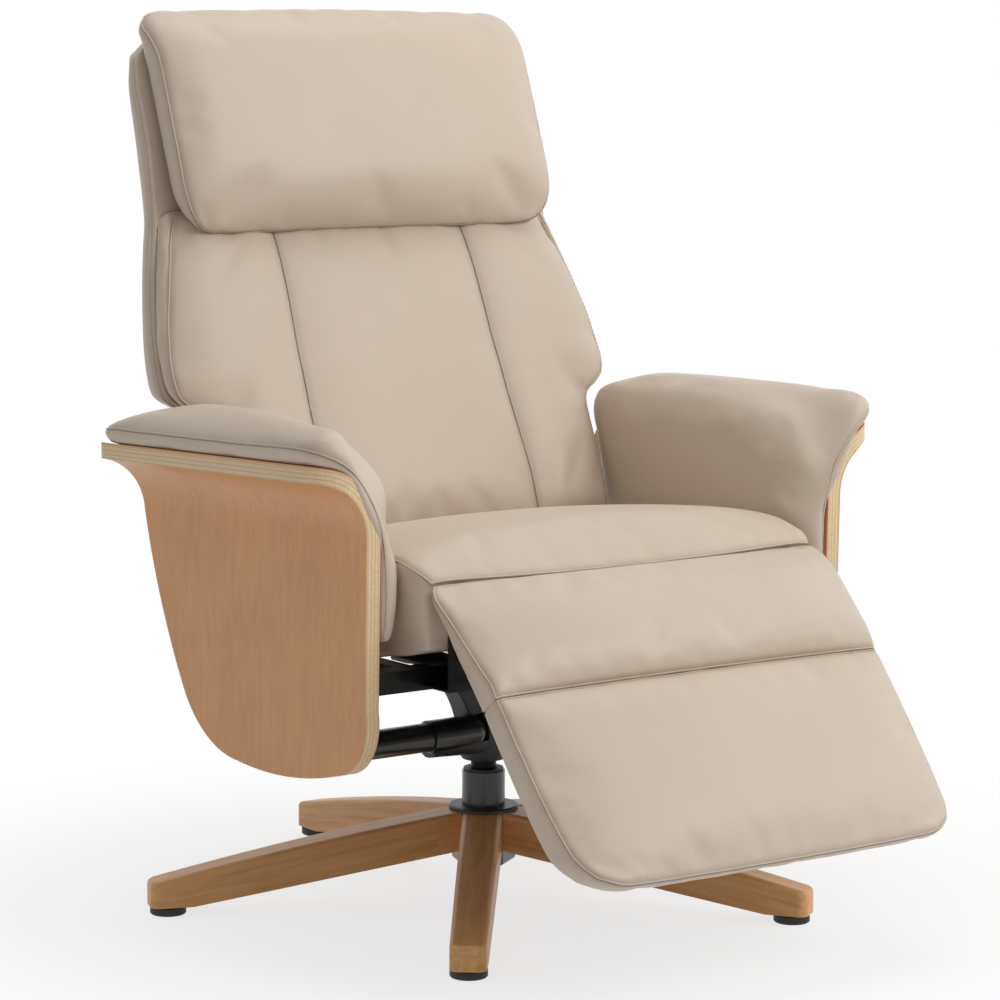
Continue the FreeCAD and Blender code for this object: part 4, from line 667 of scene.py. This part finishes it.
def on_lower(points):
    p = np.asarray(points, float)
    along, out = p[..., 1] - FOLD_LINE[0], p[..., 2] - FOLD_LINE[1]
    turned = stacked(p[..., 0], FOLD_LINE[0] + along * math.cos(LOWER_RISE) - out * math.sin(LOWER_RISE),
                     FOLD_LINE[1] + along * math.sin(LOWER_RISE) + out * math.cos(LOWER_RISE))
    return on_upper(turned)


def upper_legrest_pad():
    side = line([(-263, -5.5, 4.2), (-270, 10, 10.5), (-270, 43, 20), (-266, 103, 31), (-263, 128, 34.6),
                 (-262, 144.4, 34.6)], 20)
    start = line([(-263, -5.5, 4.2), (-232, -5.8, 6.2), (-120, -4.2, 6.2), (0, -3.6, 6.2), (120, -4.2, 6.2),
                  (232, -5.8, 6.2), (263, -5.5, 4.2)], 56)
    end = line([(-262, 144.4, 34.6), (-236, 144.4, 39), (0, 144.4, 42), (236, 144.4, 39), (262, 144.4, 34.6)], 56)
    face = stretched(start, end, side, mirrored(side))
    x, along = face[..., 0], face[..., 1]
    crown = 18 * (1 - (np.abs(x) / 270) ** 3.4) * soft_start(along + 6, 13) * soft_start(144.4 - along, 8)
    face = face + stacked(0, 0, 1) * crown[..., None]
    back_side = line([(-262, 7.5, 0.6), (-262, 80, 0.6), (-259, 144.4, 0.6)], 20)
    back = stretched(line([(-262, 7.5, 0.6), (0, 7.5, 0.6), (262, 7.5, 0.6)], 56),
                     line([(-259, 144.4, 0.6), (0, 144.4, 0.6), (259, 144.4, 0.6)], 56),
                     back_side, mirrored(back_side))
    lip = rim(face).copy()
    top = lip[:, 1] < 6.5
    lip[:, 2] *= 0.86
    lip[top, 1], lip[top, 2] = 6.5, np.maximum(lip[top, 2], 6.5)
    return pad("legrest_upper_leather", on_upper(face), on_upper(back), LEATHER, waist=[on_upper(lip)], rows=5)


def lower_legrest_pad():
    side = line([(-262, 145.8, 34.6), (-262, 160, 35.2), (-262, 207, 36), (-260, 272, 36.5), (-256.5, 318, 37),
                 (-252, 342, 38.5), (-241, 362, 42)], 26)
    start = line([(-262, 145.8, 34.6), (-236, 145.8, 39), (0, 145.8, 42), (236, 145.8, 39), (262, 145.8, 34.6)], 54)
    end = line([(-241, 362, 42), (-225, 372.5, 46), (-202, 378.5, 49), (-120, 380.5, 51), (0, 381, 51.5),
                (120, 380.5, 51), (202, 378.5, 49), (225, 372.5, 46), (241, 362, 42)], 54)
    face = stretched(start, end, side, mirrored(side))
    x, along = face[..., 0], face[..., 1]
    fall = soft_start(381 - along, 18)
    crown = 20 * (1 - (np.abs(x) / 262) ** 3.4) * soft_start(along - 145.8, 8) * fall
    face = face + stacked(0, 0, 1) * crown[..., None]
    back_side = line([(-259, 145.8, 0.6), (-259, 250, 0.6), (-256, 308, 0.8), (-251, 330, 4), (-239, 350, 9)], 26)
    back_end = line([(-239, 350, 9), (-223, 361, 15), (-200, 367.5, 20), (-120, 370, 22), (0, 370.5, 22.5),
                     (120, 370, 22), (200, 367.5, 20), (223, 361, 15), (239, 350, 9)], 54)
    back = stretched(line([(-259, 145.8, 0.6), (0, 145.8, 0.6), (259, 145.8, 0.6)], 54), back_end,
                     back_side, mirrored(back_side))
    return pad("legrest_lower_leather", on_lower(face), on_lower(back), LEATHER, rows=5)


# Back cushion, with its two sewn channels

def channel(z):
    """Half the distance between the two channels, which draw together toward the top."""
    return np.interp(z, (440, 780), (147, 133))


def back_face():
    side = line([(-250, 91, 414), (-260, 101, 440), (-264, 131, 500), (-267, 153, 545), (-274, 159, 558),
                 (-291, 163, 568), (-303, 168, 579), (-306, 174, 594), (-305, 185, 618), (-299, 199, 655),
                 (-289, 213, 690), (-279, 227, 723), (-269, 239, 750), (-261, 247, 770), (-256, 250.5, 779)], 46)
    top = line([(-256, 250.5, 779), (-238, 254, 785), (0, 255, 787), (238, 254, 785), (256, 250.5, 779)], 62)
    bottom = line([(-250, 91, 414), (0, 89, 412), (250, 91, 414)], 62)
    face = stretched(bottom, top, side, mirrored(side))
    x, z = face[..., 0], face[..., 2]
    half = np.abs(face[0, :, 0])[None]
    ends = soft_start(786 - z, 30) * soft_start(z - 412, 12)
    inner = channel(z)
    across = np.abs(x) / np.maximum(half, 1)
    centre = 1 - (np.abs(x) / inner) ** 3.0
    outer = 1 - (np.abs(2 * np.abs(x) - inner - half) / (half - inner)) ** 3.0
    swell = np.where(np.abs(x) < inner, centre, outer)
    out = (6 * (1 - across ** 3.6) + 11 * np.clip(swell, 0, 1)) * ends
    return face + stacked(0, -0.88, 0.47) * out[..., None]


def back_pad():
    face = back_face()
    side = line([(-250, 100.5, 413), (-260, 118.5, 440), (-264, 155.5, 500), (-267, 182, 553), (-285, 191, 569),
                 (-300, 198, 582), (-304, 208, 609), (-302, 221.5, 644), (-292, 240, 700), (-282, 253, 745),
                 (-277, 260, 768), (-274, 262.5, 779)], 46)
    back = stretched(line([(-250, 100.5, 413), (0, 100.5, 412), (250, 100.5, 413)], 62),
                     line([(-274, 262.5, 779), (0, 264, 781), (274, 262.5, 779)], 62), side, mirrored(side))
    return pad("back_cushion_leather", face, back, LEATHER, rows=4, side_swell=3.5)


# Headrest pillow, drawn upright and leaned back about its foot

def leaned(points):
    p = np.asarray(points, float)
    out, up = p[..., 1], p[..., 2]
    y = PILLOW_FOOT[0] - out * math.cos(PILLOW_LEAN) + up * math.sin(PILLOW_LEAN)
    z = PILLOW_FOOT[1] + out * math.sin(PILLOW_LEAN) + up * math.cos(PILLOW_LEAN)
    return stacked(p[..., 0], y, z)


def headrest_pad():
    side = line([(-240, 9, 9), (-254, 18, 22), (-261, 26, 44), (-262, 29, 80), (-262, 29, 190),
                 (-263, 26, 214), (-264, 18, 233), (-262, 6, 248), (-252, -1, 258)], 34)
    foot = line([(-240, 9, 9), (-222, 6, 2.5), (-196, 5, 0.5), (0, 5, -1), (196, 5, 0.5), (222, 6, 2.5),
                 (240, 9, 9)], 56)
    top = line([(-252, -1, 258), (-238, -3, 265), (-214, -4, 268), (0, -4, 270), (214, -4, 268), (238, -3, 265),
                (252, -1, 258)], 56)
    face = stretched(foot, top, side, mirrored(side))
    x, out, up = np.abs(face[..., 0]), face[..., 1], face[..., 2]
    ends = np.sqrt(np.clip(1 - (np.clip(x - 214, 0, 48) / 49) ** 2, 0, 1))
    rise = 10 * (1 - (x / 262) ** 2) + 19 * ends
    rise = rise * soft_start(up + 1, 14) * soft_start(270 - up, 13)
    roll = np.radians(np.interp(up, (0, 24, 60, 196, 236, 270), (-62, -34, 0, 0, 44, 78)))
    face = face + np.stack([np.zeros_like(x), rise * np.cos(roll), rise * np.sin(roll)], axis=-1)
    back_side = line([(-238, 1, 14), (-251, 0, 27), (-259, 0, 50), (-260, 0, 90), (-260, 0, 186), (-260, -1, 210),
                      (-258, -4, 228), (-254, -9, 243), (-246, -11, 250)], 34)
    back_foot = line([(-238, 1, 14), (-221, 0, 8), (-195, 0, 5), (0, 0, 4), (195, 0, 5), (221, 0, 8),
                      (238, 1, 14)], 56)
    back_top = line([(-246, -11, 250), (-232, -13, 257), (-212, -13, 260), (0, -13, 262), (212, -13, 260),
                     (232, -13, 257), (246, -11, 250)], 56)
    back = stretched(back_foot, back_top, back_side, mirrored(back_side))
    return pad("headrest_leather", leaned(face), leaned(back), LEATHER, rows=4, side_swell=2.5)


# Arm pads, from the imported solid: softened all over, fuller on top and rounder in front

def shaped_by(piece, *kinds):
    """Gives the piece modifiers, each a kind and its settings, and makes them part of its mesh."""
    for kind, values in kinds:
        extra = piece.modifiers.new(kind.title(), kind)
        for key, value in values.items():
            setattr(extra, key, value)
    graph = bpy.context.evaluated_depsgraph_get()
    mesh = bpy.data.meshes.new_from_object(piece.evaluated_get(graph))
    piece.modifiers.clear()
    old, piece.data = piece.data, mesh
    bpy.data.meshes.remove(old)


def arm_tail(sign):
    """Inner part of the pad behind the back's swing, closing the corner between arm and back."""
    sides = [(y, z) for y, z in ((88, 337), (128, 337), (163, 532), (162, 546), (152, 562), (135, 571), (88, 573))]
    points = [(sign * x, y, z) for x in (276.5, 314) for y, z in sides]
    count = len(sides)
    faces = [tuple(range(count)), tuple(range(2 * count - 1, count - 1, -1))]
    faces += [(k, k + count, (k + 1) % count + count, (k + 1) % count) for k in range(count)]
    return placed(points).tolist(), faces


def arm_pad(side):
    name = "arm_pad_" + side
    source = frame["nodes"][name].data
    tail, tail_faces = arm_tail(1 if side == "right" else -1)
    start = len(source.vertices)
    mesh = bpy.data.meshes.new(name)
    mesh.from_pydata([tuple(v.co) for v in source.vertices] + tail, [],
                     [tuple(f.vertices) for f in source.polygons]
                     + [tuple(k + start for k in face) for face in tail_faces])
    mesh.materials.append(LEATHER)
    piece = bpy.data.objects.new(name + "_leather", mesh)
    scene.collection.objects.link(piece)
    shaped_by(piece, ("WELD", {"merge_threshold": 0.00002}),
              ("REMESH", {"mode": "VOXEL", "voxel_size": 0.0045, "use_smooth_shade": True}),
              ("SMOOTH", {"factor": 0.5, "iterations": 6}))
    co, _ = arrays(piece)
    x, y, z = np.abs(co[:, 0]) / MM, co[:, 1] / MM - SWIVEL_SET_BACK, co[:, 2] / MM
    ease = np.clip((356 - x) / 46, 0, 1)
    ease = ease * ease * (3 - 2 * ease)
    drop = np.interp(y, (-246, -230, -215, -190, -150, -100, -60, -10), (62, 54, 46, 35, 19, 9, 4, 0))
    near_front = np.clip(1 - (y + 246) / 150, 0, 1) ** 1.5
    welt = np.interp(z, (470, 490, 512, 532, 545, 556, 570), (301, 303, 311, 326, 345, 362, 388))
    inward = np.clip((welt - x) / np.maximum(welt - 288, 12), 0, 1.2)
    deep = np.interp(z, (345, 370, 430, 460, 495, 530), (16, 7, 4, 7, 12, 16))
    z = z - drop * ease * np.clip((z - 430) / 130, 0, 1) + 9 * near_front * np.clip((380 - z) / 45, 0, 1)
    y = y + deep * inward ** 2 * near_front
    x = x + 6 * near_front * np.clip((300 - x) / 25, 0, 1)
    co = np.stack([np.copysign(x, co[:, 0]), y + SWIVEL_SET_BACK, z], axis=1) * (1, MM, MM)
    co[:, 0] *= MM
    piece.data.vertices.foreach_set("co", co.ravel())
    piece.data.update()
    shaped_by(piece, ("SMOOTH", {"factor": 0.5, "iterations": 38}))
    co, _ = arrays(piece)
    x, y, z = np.abs(co[:, 0]) / MM, co[:, 1] / MM - SWIVEL_SET_BACK, co[:, 2] / MM
    lift = (216.0 - y) * 0.035
    foot = (z < 355 + lift) | (x > 400)
    sheet = np.hypot(388 - x, np.maximum(z - 452 - lift, 0)) < 81
    held = foot | (sheet & (z < 552 + lift))
    hold = piece.vertex_groups.new(name="hold")
    hold.add([int(k) for k in np.nonzero(held)[0]], 1.0, "REPLACE")
    return piece


def arm_seam(sign):
    lift = 0.035
    outer = [(330, 204, 549), (368, 204, 549.5), (385, 196, 550.5), (392, 178, 551.5)]
    outer += [(393, y, 550 + (216 - y) * lift) for y in (120, 60, 0, -60, -120, -170, -200)]
    front = [(388, -222, 563), (377, -236, 558), (361, -244, 550), (342, -246, 538), (325, -246, 519),
             (313, -246, 495), (307, -246, 462), (305, -246, 420), (305, -245, 385), (306, -240, 362)]
    return placed(smooth_line(outer + front)) * (sign, 1, 1)


# Back shell: padded walls round a hollow, closed behind the headrest

SHELL = [(412, 238, 101, 172), (440, 256, 119, 198), (500, 264, 156, 232), (545, 268, 183, 256),
         (560, 280, 190, 262), (575, 302, 197, 267), (600, 306, 207, 272), (640, 303, 222, 281),
         (700, 295, 241, 290), (745, 286, 253, 302), (778, 279, 261, 313), (850, 274, 279, 340),
         (930, 273, 303, 352), (972, 267, 319, 354), (985, 261, 325, 352), (992, 250, 330, 349)]


def shell_ring(z, half, front, rear, count=54):
    corner = (rear - front) * 0.5
    crown = (rear - front) * 0.17
    bend = [(half - corner * (1 - math.cos(a)), rear - crown - corner * (1 - math.sin(a)))
            for a in np.radians([0, 22, 45, 68, 90])]
    right = [(half, front), (half + 1.5, (front + bend[0][1]) / 2), *bend, (half * 0.4, rear - crown * 0.16),
             (0, rear)]
    outer = smooth_line([(x, y, z) for x, y in right])
    outer = evenly(np.vstack([outer, mirrored(outer)[-2::-1]]), count)
    wall = 13.0 if z < 762 else 0.0
    if wall:
        inner = outer.copy()
        inner[:, 0] *= (half - wall) / half
        inner[:, 1] = np.minimum(inner[:, 1] - wall * (inner[:, 1] - front) / (rear - front), rear - wall)
        inner[:, 1] = np.maximum(inner[:, 1], front)
    else:
        inner = outer.copy()
        inner[:, 1] = front - 2.5 * (1 - (inner[:, 0] / half) ** 2)
        inner[:, 0] *= 0.985
    return np.vstack([outer, inner[::-1]])


def bowed(points):
    """How far the shell's level rings hang down toward the sides near the top."""
    p = np.asarray(points, float)
    return 30 * np.clip(np.abs(p[..., 0]) / 268, 0, 1) ** 5 * np.clip((p[..., 2] - 850) / 142, 0, 1) ** 1.5


def shell_piece():
    table = smooth_line(SHELL, 5)
    rings = [shell_ring(*row) for row in table]
    count = len(rings[0])
    half = count // 2
    top = rings[-1] * (0.97, 1, 1) + (0, 0, 3)
    rings.append(top)
    points = np.vstack(rings)
    points[:, 2] -= bowed(points)
    quads = []
    for level in range(len(rings) - 1):
        a = np.arange(count) + level * count
        quads.append(np.stack([a, np.roll(a, -1), np.roll(a, -1) + count, a + count], axis=1))
    for level in (0, len(rings) - 1):
        low = np.arange(half) + level * count
        back = (np.arange(half)[::-1] + half) + level * count
        cap = np.stack([low[:-1], back[:-1], back[1:], low[1:]], axis=1)
        quads.append(cap if level == 0 else cap[:, ::-1])
    return mesh_piece("back_shell_leather", placed(points), np.vstack(quads), LEATHER)


def shell_seams():
    right = []
    for z, half, front, rear in smooth_line(SHELL, 5):
        if z < 425:
            continue
        corner = (rear - front) * 0.5
        crown = (rear - front) * 0.17
        right.append((half - corner * 0.75, rear - crown - corner * 0.06, z))
    front_edge = [(half + 1.0, front + 7.0, z) for z, half, front, rear in smooth_line(SHELL, 5) if 440 < z < 980]
    over = [(x, 350 - 4 * (x / 240) ** 2, 992) for x in np.linspace(-222, 222, 20)]
    over = np.array(over)
    lines = [np.array(right), mirrored(right), np.array(front_edge), mirrored(front_edge), over]
    return [placed(one - stacked(0, 0, bowed(one))) for one in lines]


# Making the upholstery

seat, upper, lower, back, pillow = seat_pad(), upper_legrest_pad(), lower_legrest_pad(), back_pad(), headrest_pad()


def grid_of(piece, n, m):
    co, _ = arrays(piece)
    return co[:n * m].reshape(n, m, 3)


arms = {side: arm_pad(side) for side in ("right", "left")}
shell = shell_piece()
filled([seat, upper, lower, back, pillow], 0.007)
filled([arms["right"], arms["left"]], 0.004)
for arm in arms.values():
    shaped_by(arm, ("SMOOTH", {"factor": 0.5, "iterations": 20, "vertex_group": "hold",
                               "invert_vertex_group": True}))

SIZES = {"seat": (58, 38), "upper": (56, 20), "lower": (54, 26), "back": (62, 46), "pillow": (56, 34)}
BODIES = {"seat": "turning_part", "upper": "legrest_upper", "lower": "legrest_lower", "back": "backrest",
          "pillow": "headrest"}
NODES = {"seat": "seat_cushion", "upper": "legrest_upper_pad", "lower": "legrest_lower_pad",
         "back": "back_cushion", "pillow": "headrest_pillow"}


def edges_of(grid, skip=()):
    whole = {"start": grid[:, 0], "right": grid[-1], "end": grid[::-1, -1], "left": grid[0, ::-1]}
    return {name: one for name, one in whole.items() if name not in skip}


finished = {}
for number, (name, piece) in enumerate((("seat", seat), ("upper", upper), ("lower", lower), ("back", back),
                                        ("pillow", pillow))):
    n, m = SIZES[name]
    grid = grid_of(piece, n, m)
    seams = list(edges_of(grid).values())
    lower_rim = arrays(piece)[0][-n * m:].reshape(n, m, 3)
    if name == "back":
        for sign in (-1, 1):
            column = []
            for row in range(m):
                xs = grid[:, row, 0] * sign / MM
                order = np.argsort(xs)
                half = channel(grid[:, row, 2].mean() / MM)
                column.append([np.interp(half, xs[order], grid[order, row, k]) for k in range(3)])
            seams.append(np.array(column))
    back_seams = list(edges_of(lower_rim).values()) if name in ("back", "pillow", "lower", "upper") else []
    divided(piece, 1)
    drawn_in(piece, seams + back_seams, 1.8, 4.0, 0.4, number + 3)
    divided(piece, 1)
    finished[name] = (piece, seams, back_seams)
for side, sign in (("right", 1), ("left", -1)):
    seams = [arm_seam(sign)]
    drawn_in(arms[side], seams, 1.6, 4.0, 0.4, 17)
    divided(arms[side], 1)
    finished["arm_" + side] = (arms[side], seams, [])
divided(shell, 1)
drawn_in(shell, shell_seams(), 1.5, 4.0, 0.3, 31)
divided(shell, 1)
finished["shell"] = (shell, shell_seams(), [])

for name, (piece, seams, back_seams) in finished.items():
    welted, valleys = (seams[:4], seams[4:]) if name == "back" else (seams, [])
    ridge = sewn(piece.name.replace("_leather", "") + "_seams",
                 [on_surface(piece, seam, 0.1) for seam in welted + back_seams], radius=0.0010, stitches=True)
    # Painted shade: dark strands beside the ridges, and along the back's channels, stand in for the shade in the
    # folds and valleys.
    fold_shade = sewn(piece.name.replace("_leather", "") + "_painted_fold_shades",
                [on_surface(piece, seam, -0.1) + np.array((0, 0.0, -0.0014)) for seam in welted]
                + [on_surface(piece, seam, 0.1) for seam in valleys], PAINTED_FOLD_SHADE, 0.0009)
    body = BODIES.get(name, "backrest" if name == "shell" else "turning_part")
    for one in (piece, ridge, fold_shade):
        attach(one, body)
    node_name = NODES.get(name) or ("back_shell" if name == "shell" else name.replace("arm_", "arm_pad_"))
    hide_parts(node_name)


# Floor, backdrop, lamps and camera

def seen_directly(nodes, links):
    """One for what the camera sees, also in a reflection or through glass."""
    rays = nodes.new("ShaderNodeLightPath")
    either = worked(nodes, links, "MAXIMUM", rays.outputs["Is Camera Ray"], rays.outputs["Is Glossy Ray"])
    return worked(nodes, links, "MAXIMUM", either, rays.outputs["Is Transmission Ray"])


def studio():
    floor_mesh = bpy.data.meshes.new("floor")
    floor_mesh.from_pydata([(-30, -30, 0), (30, -30, 0), (30, 30, 0), (-30, 30, 0)], [], [(0, 1, 2, 3)])
    floor = bpy.data.objects.new("floor", floor_mesh)
    scene.collection.objects.link(floor)
    paper, nodes, links, shader = finish_nodes("floor_paper")
    speck = node(nodes, "ShaderNodeTexNoise", Scale=3.0)
    links.new(ramp(nodes, links, speck.outputs["Fac"], [(0.0, (0.93, 0.93, 0.93, 1)), (1.0, (0.96, 0.96, 0.96, 1))]),
              shader.inputs["Base Color"])
    shader.inputs["Roughness"].default_value = 0.9
    shader.inputs["Specular IOR Level"].default_value = 0.1
    glow = node(nodes, "ShaderNodeEmission", Color=(1, 1, 1, 1), Strength=1.0)
    seen = seen_directly(nodes, links)
    where = nodes.new("ShaderNodeTexCoord").outputs["Object"]
    away = nodes.new("ShaderNodeVectorMath")
    away.operation = "LENGTH"
    links.new(where, away.inputs[0])
    far = node(nodes, "ShaderNodeMapRange", interpolation_type="SMOOTHSTEP")
    for key, value in (("From Min", 0.35), ("From Max", 1.0), ("To Min", 0.74), ("To Max", 1.0)):
        far.inputs[key].default_value = value
    links.new(away.outputs["Value"], far.inputs["Value"])
    share = nodes.new("ShaderNodeMixShader")
    links.new(worked(nodes, links, "MULTIPLY", seen, far.outputs["Result"]), share.inputs[0])
    links.new(shader.outputs[0], share.inputs[1])
    links.new(glow.outputs[0], share.inputs[2])
    links.new(share.outputs[0], nodes["Material Output"].inputs["Surface"])
    floor_mesh.materials.append(paper)

    world = bpy.data.worlds.new("studio")
    scene.world = world
    world.use_nodes = True
    tree = world.node_tree
    plain, white = tree.nodes["Background"], tree.nodes.new("ShaderNodeBackground")
    plain.inputs["Color"].default_value = (1.0, 0.995, 0.985, 1)
    plain.inputs["Strength"].default_value = 0.36
    white.inputs["Color"].default_value = (1, 1, 1, 1)
    join = tree.nodes.new("ShaderNodeMixShader")
    tree.links.new(seen_directly(tree.nodes, tree.links), join.inputs[0])
    tree.links.new(plain.outputs[0], join.inputs[1])
    tree.links.new(white.outputs[0], join.inputs[2])
    tree.links.new(join.outputs[0], tree.nodes["World Output"].inputs["Surface"])

    for name, spot, aim, size, power in (
            ("key", (1.6, -3.0, 2.7), (0, -0.1, 0.5), 2.4, 64.0),
            ("fill", (3.0, -0.6, 1.9), (0, 0, 0.5), 2.6, 12.0),
            ("top", (0.3, 0.3, 3.6), (0, 0, 0.4), 2.6, 34.0)):
        lamp = bpy.data.lights.new(name, "AREA")
        lamp.shape, lamp.size, lamp.energy = "DISK", size, power
        made = bpy.data.objects.new(name, lamp)
        scene.collection.objects.link(made)
        made.location = spot
        made.rotation_euler = (Vector(aim) - Vector(spot)).to_track_quat("-Z", "Y").to_euler()


def photograph_view():
    lens = bpy.data.cameras.new("camera")
    lens.sensor_width, lens.lens = 36.0, 129.3
    made = bpy.data.objects.new("camera", lens)
    scene.collection.objects.link(made)
    made.location = (-2.4095, -3.2802 + SWIVEL_SET_BACK * MM, 0.9953)
    facing = Vector((0.5904, 0.7965, -0.1305))
    made.rotation_euler = facing.to_track_quat("-Z", "Y").to_euler()
    made.rotation_euler.rotate_axis("Z", math.radians(0.25))
    scene.camera = made


studio()
photograph_view()
scene.view_settings.view_transform = "Standard"
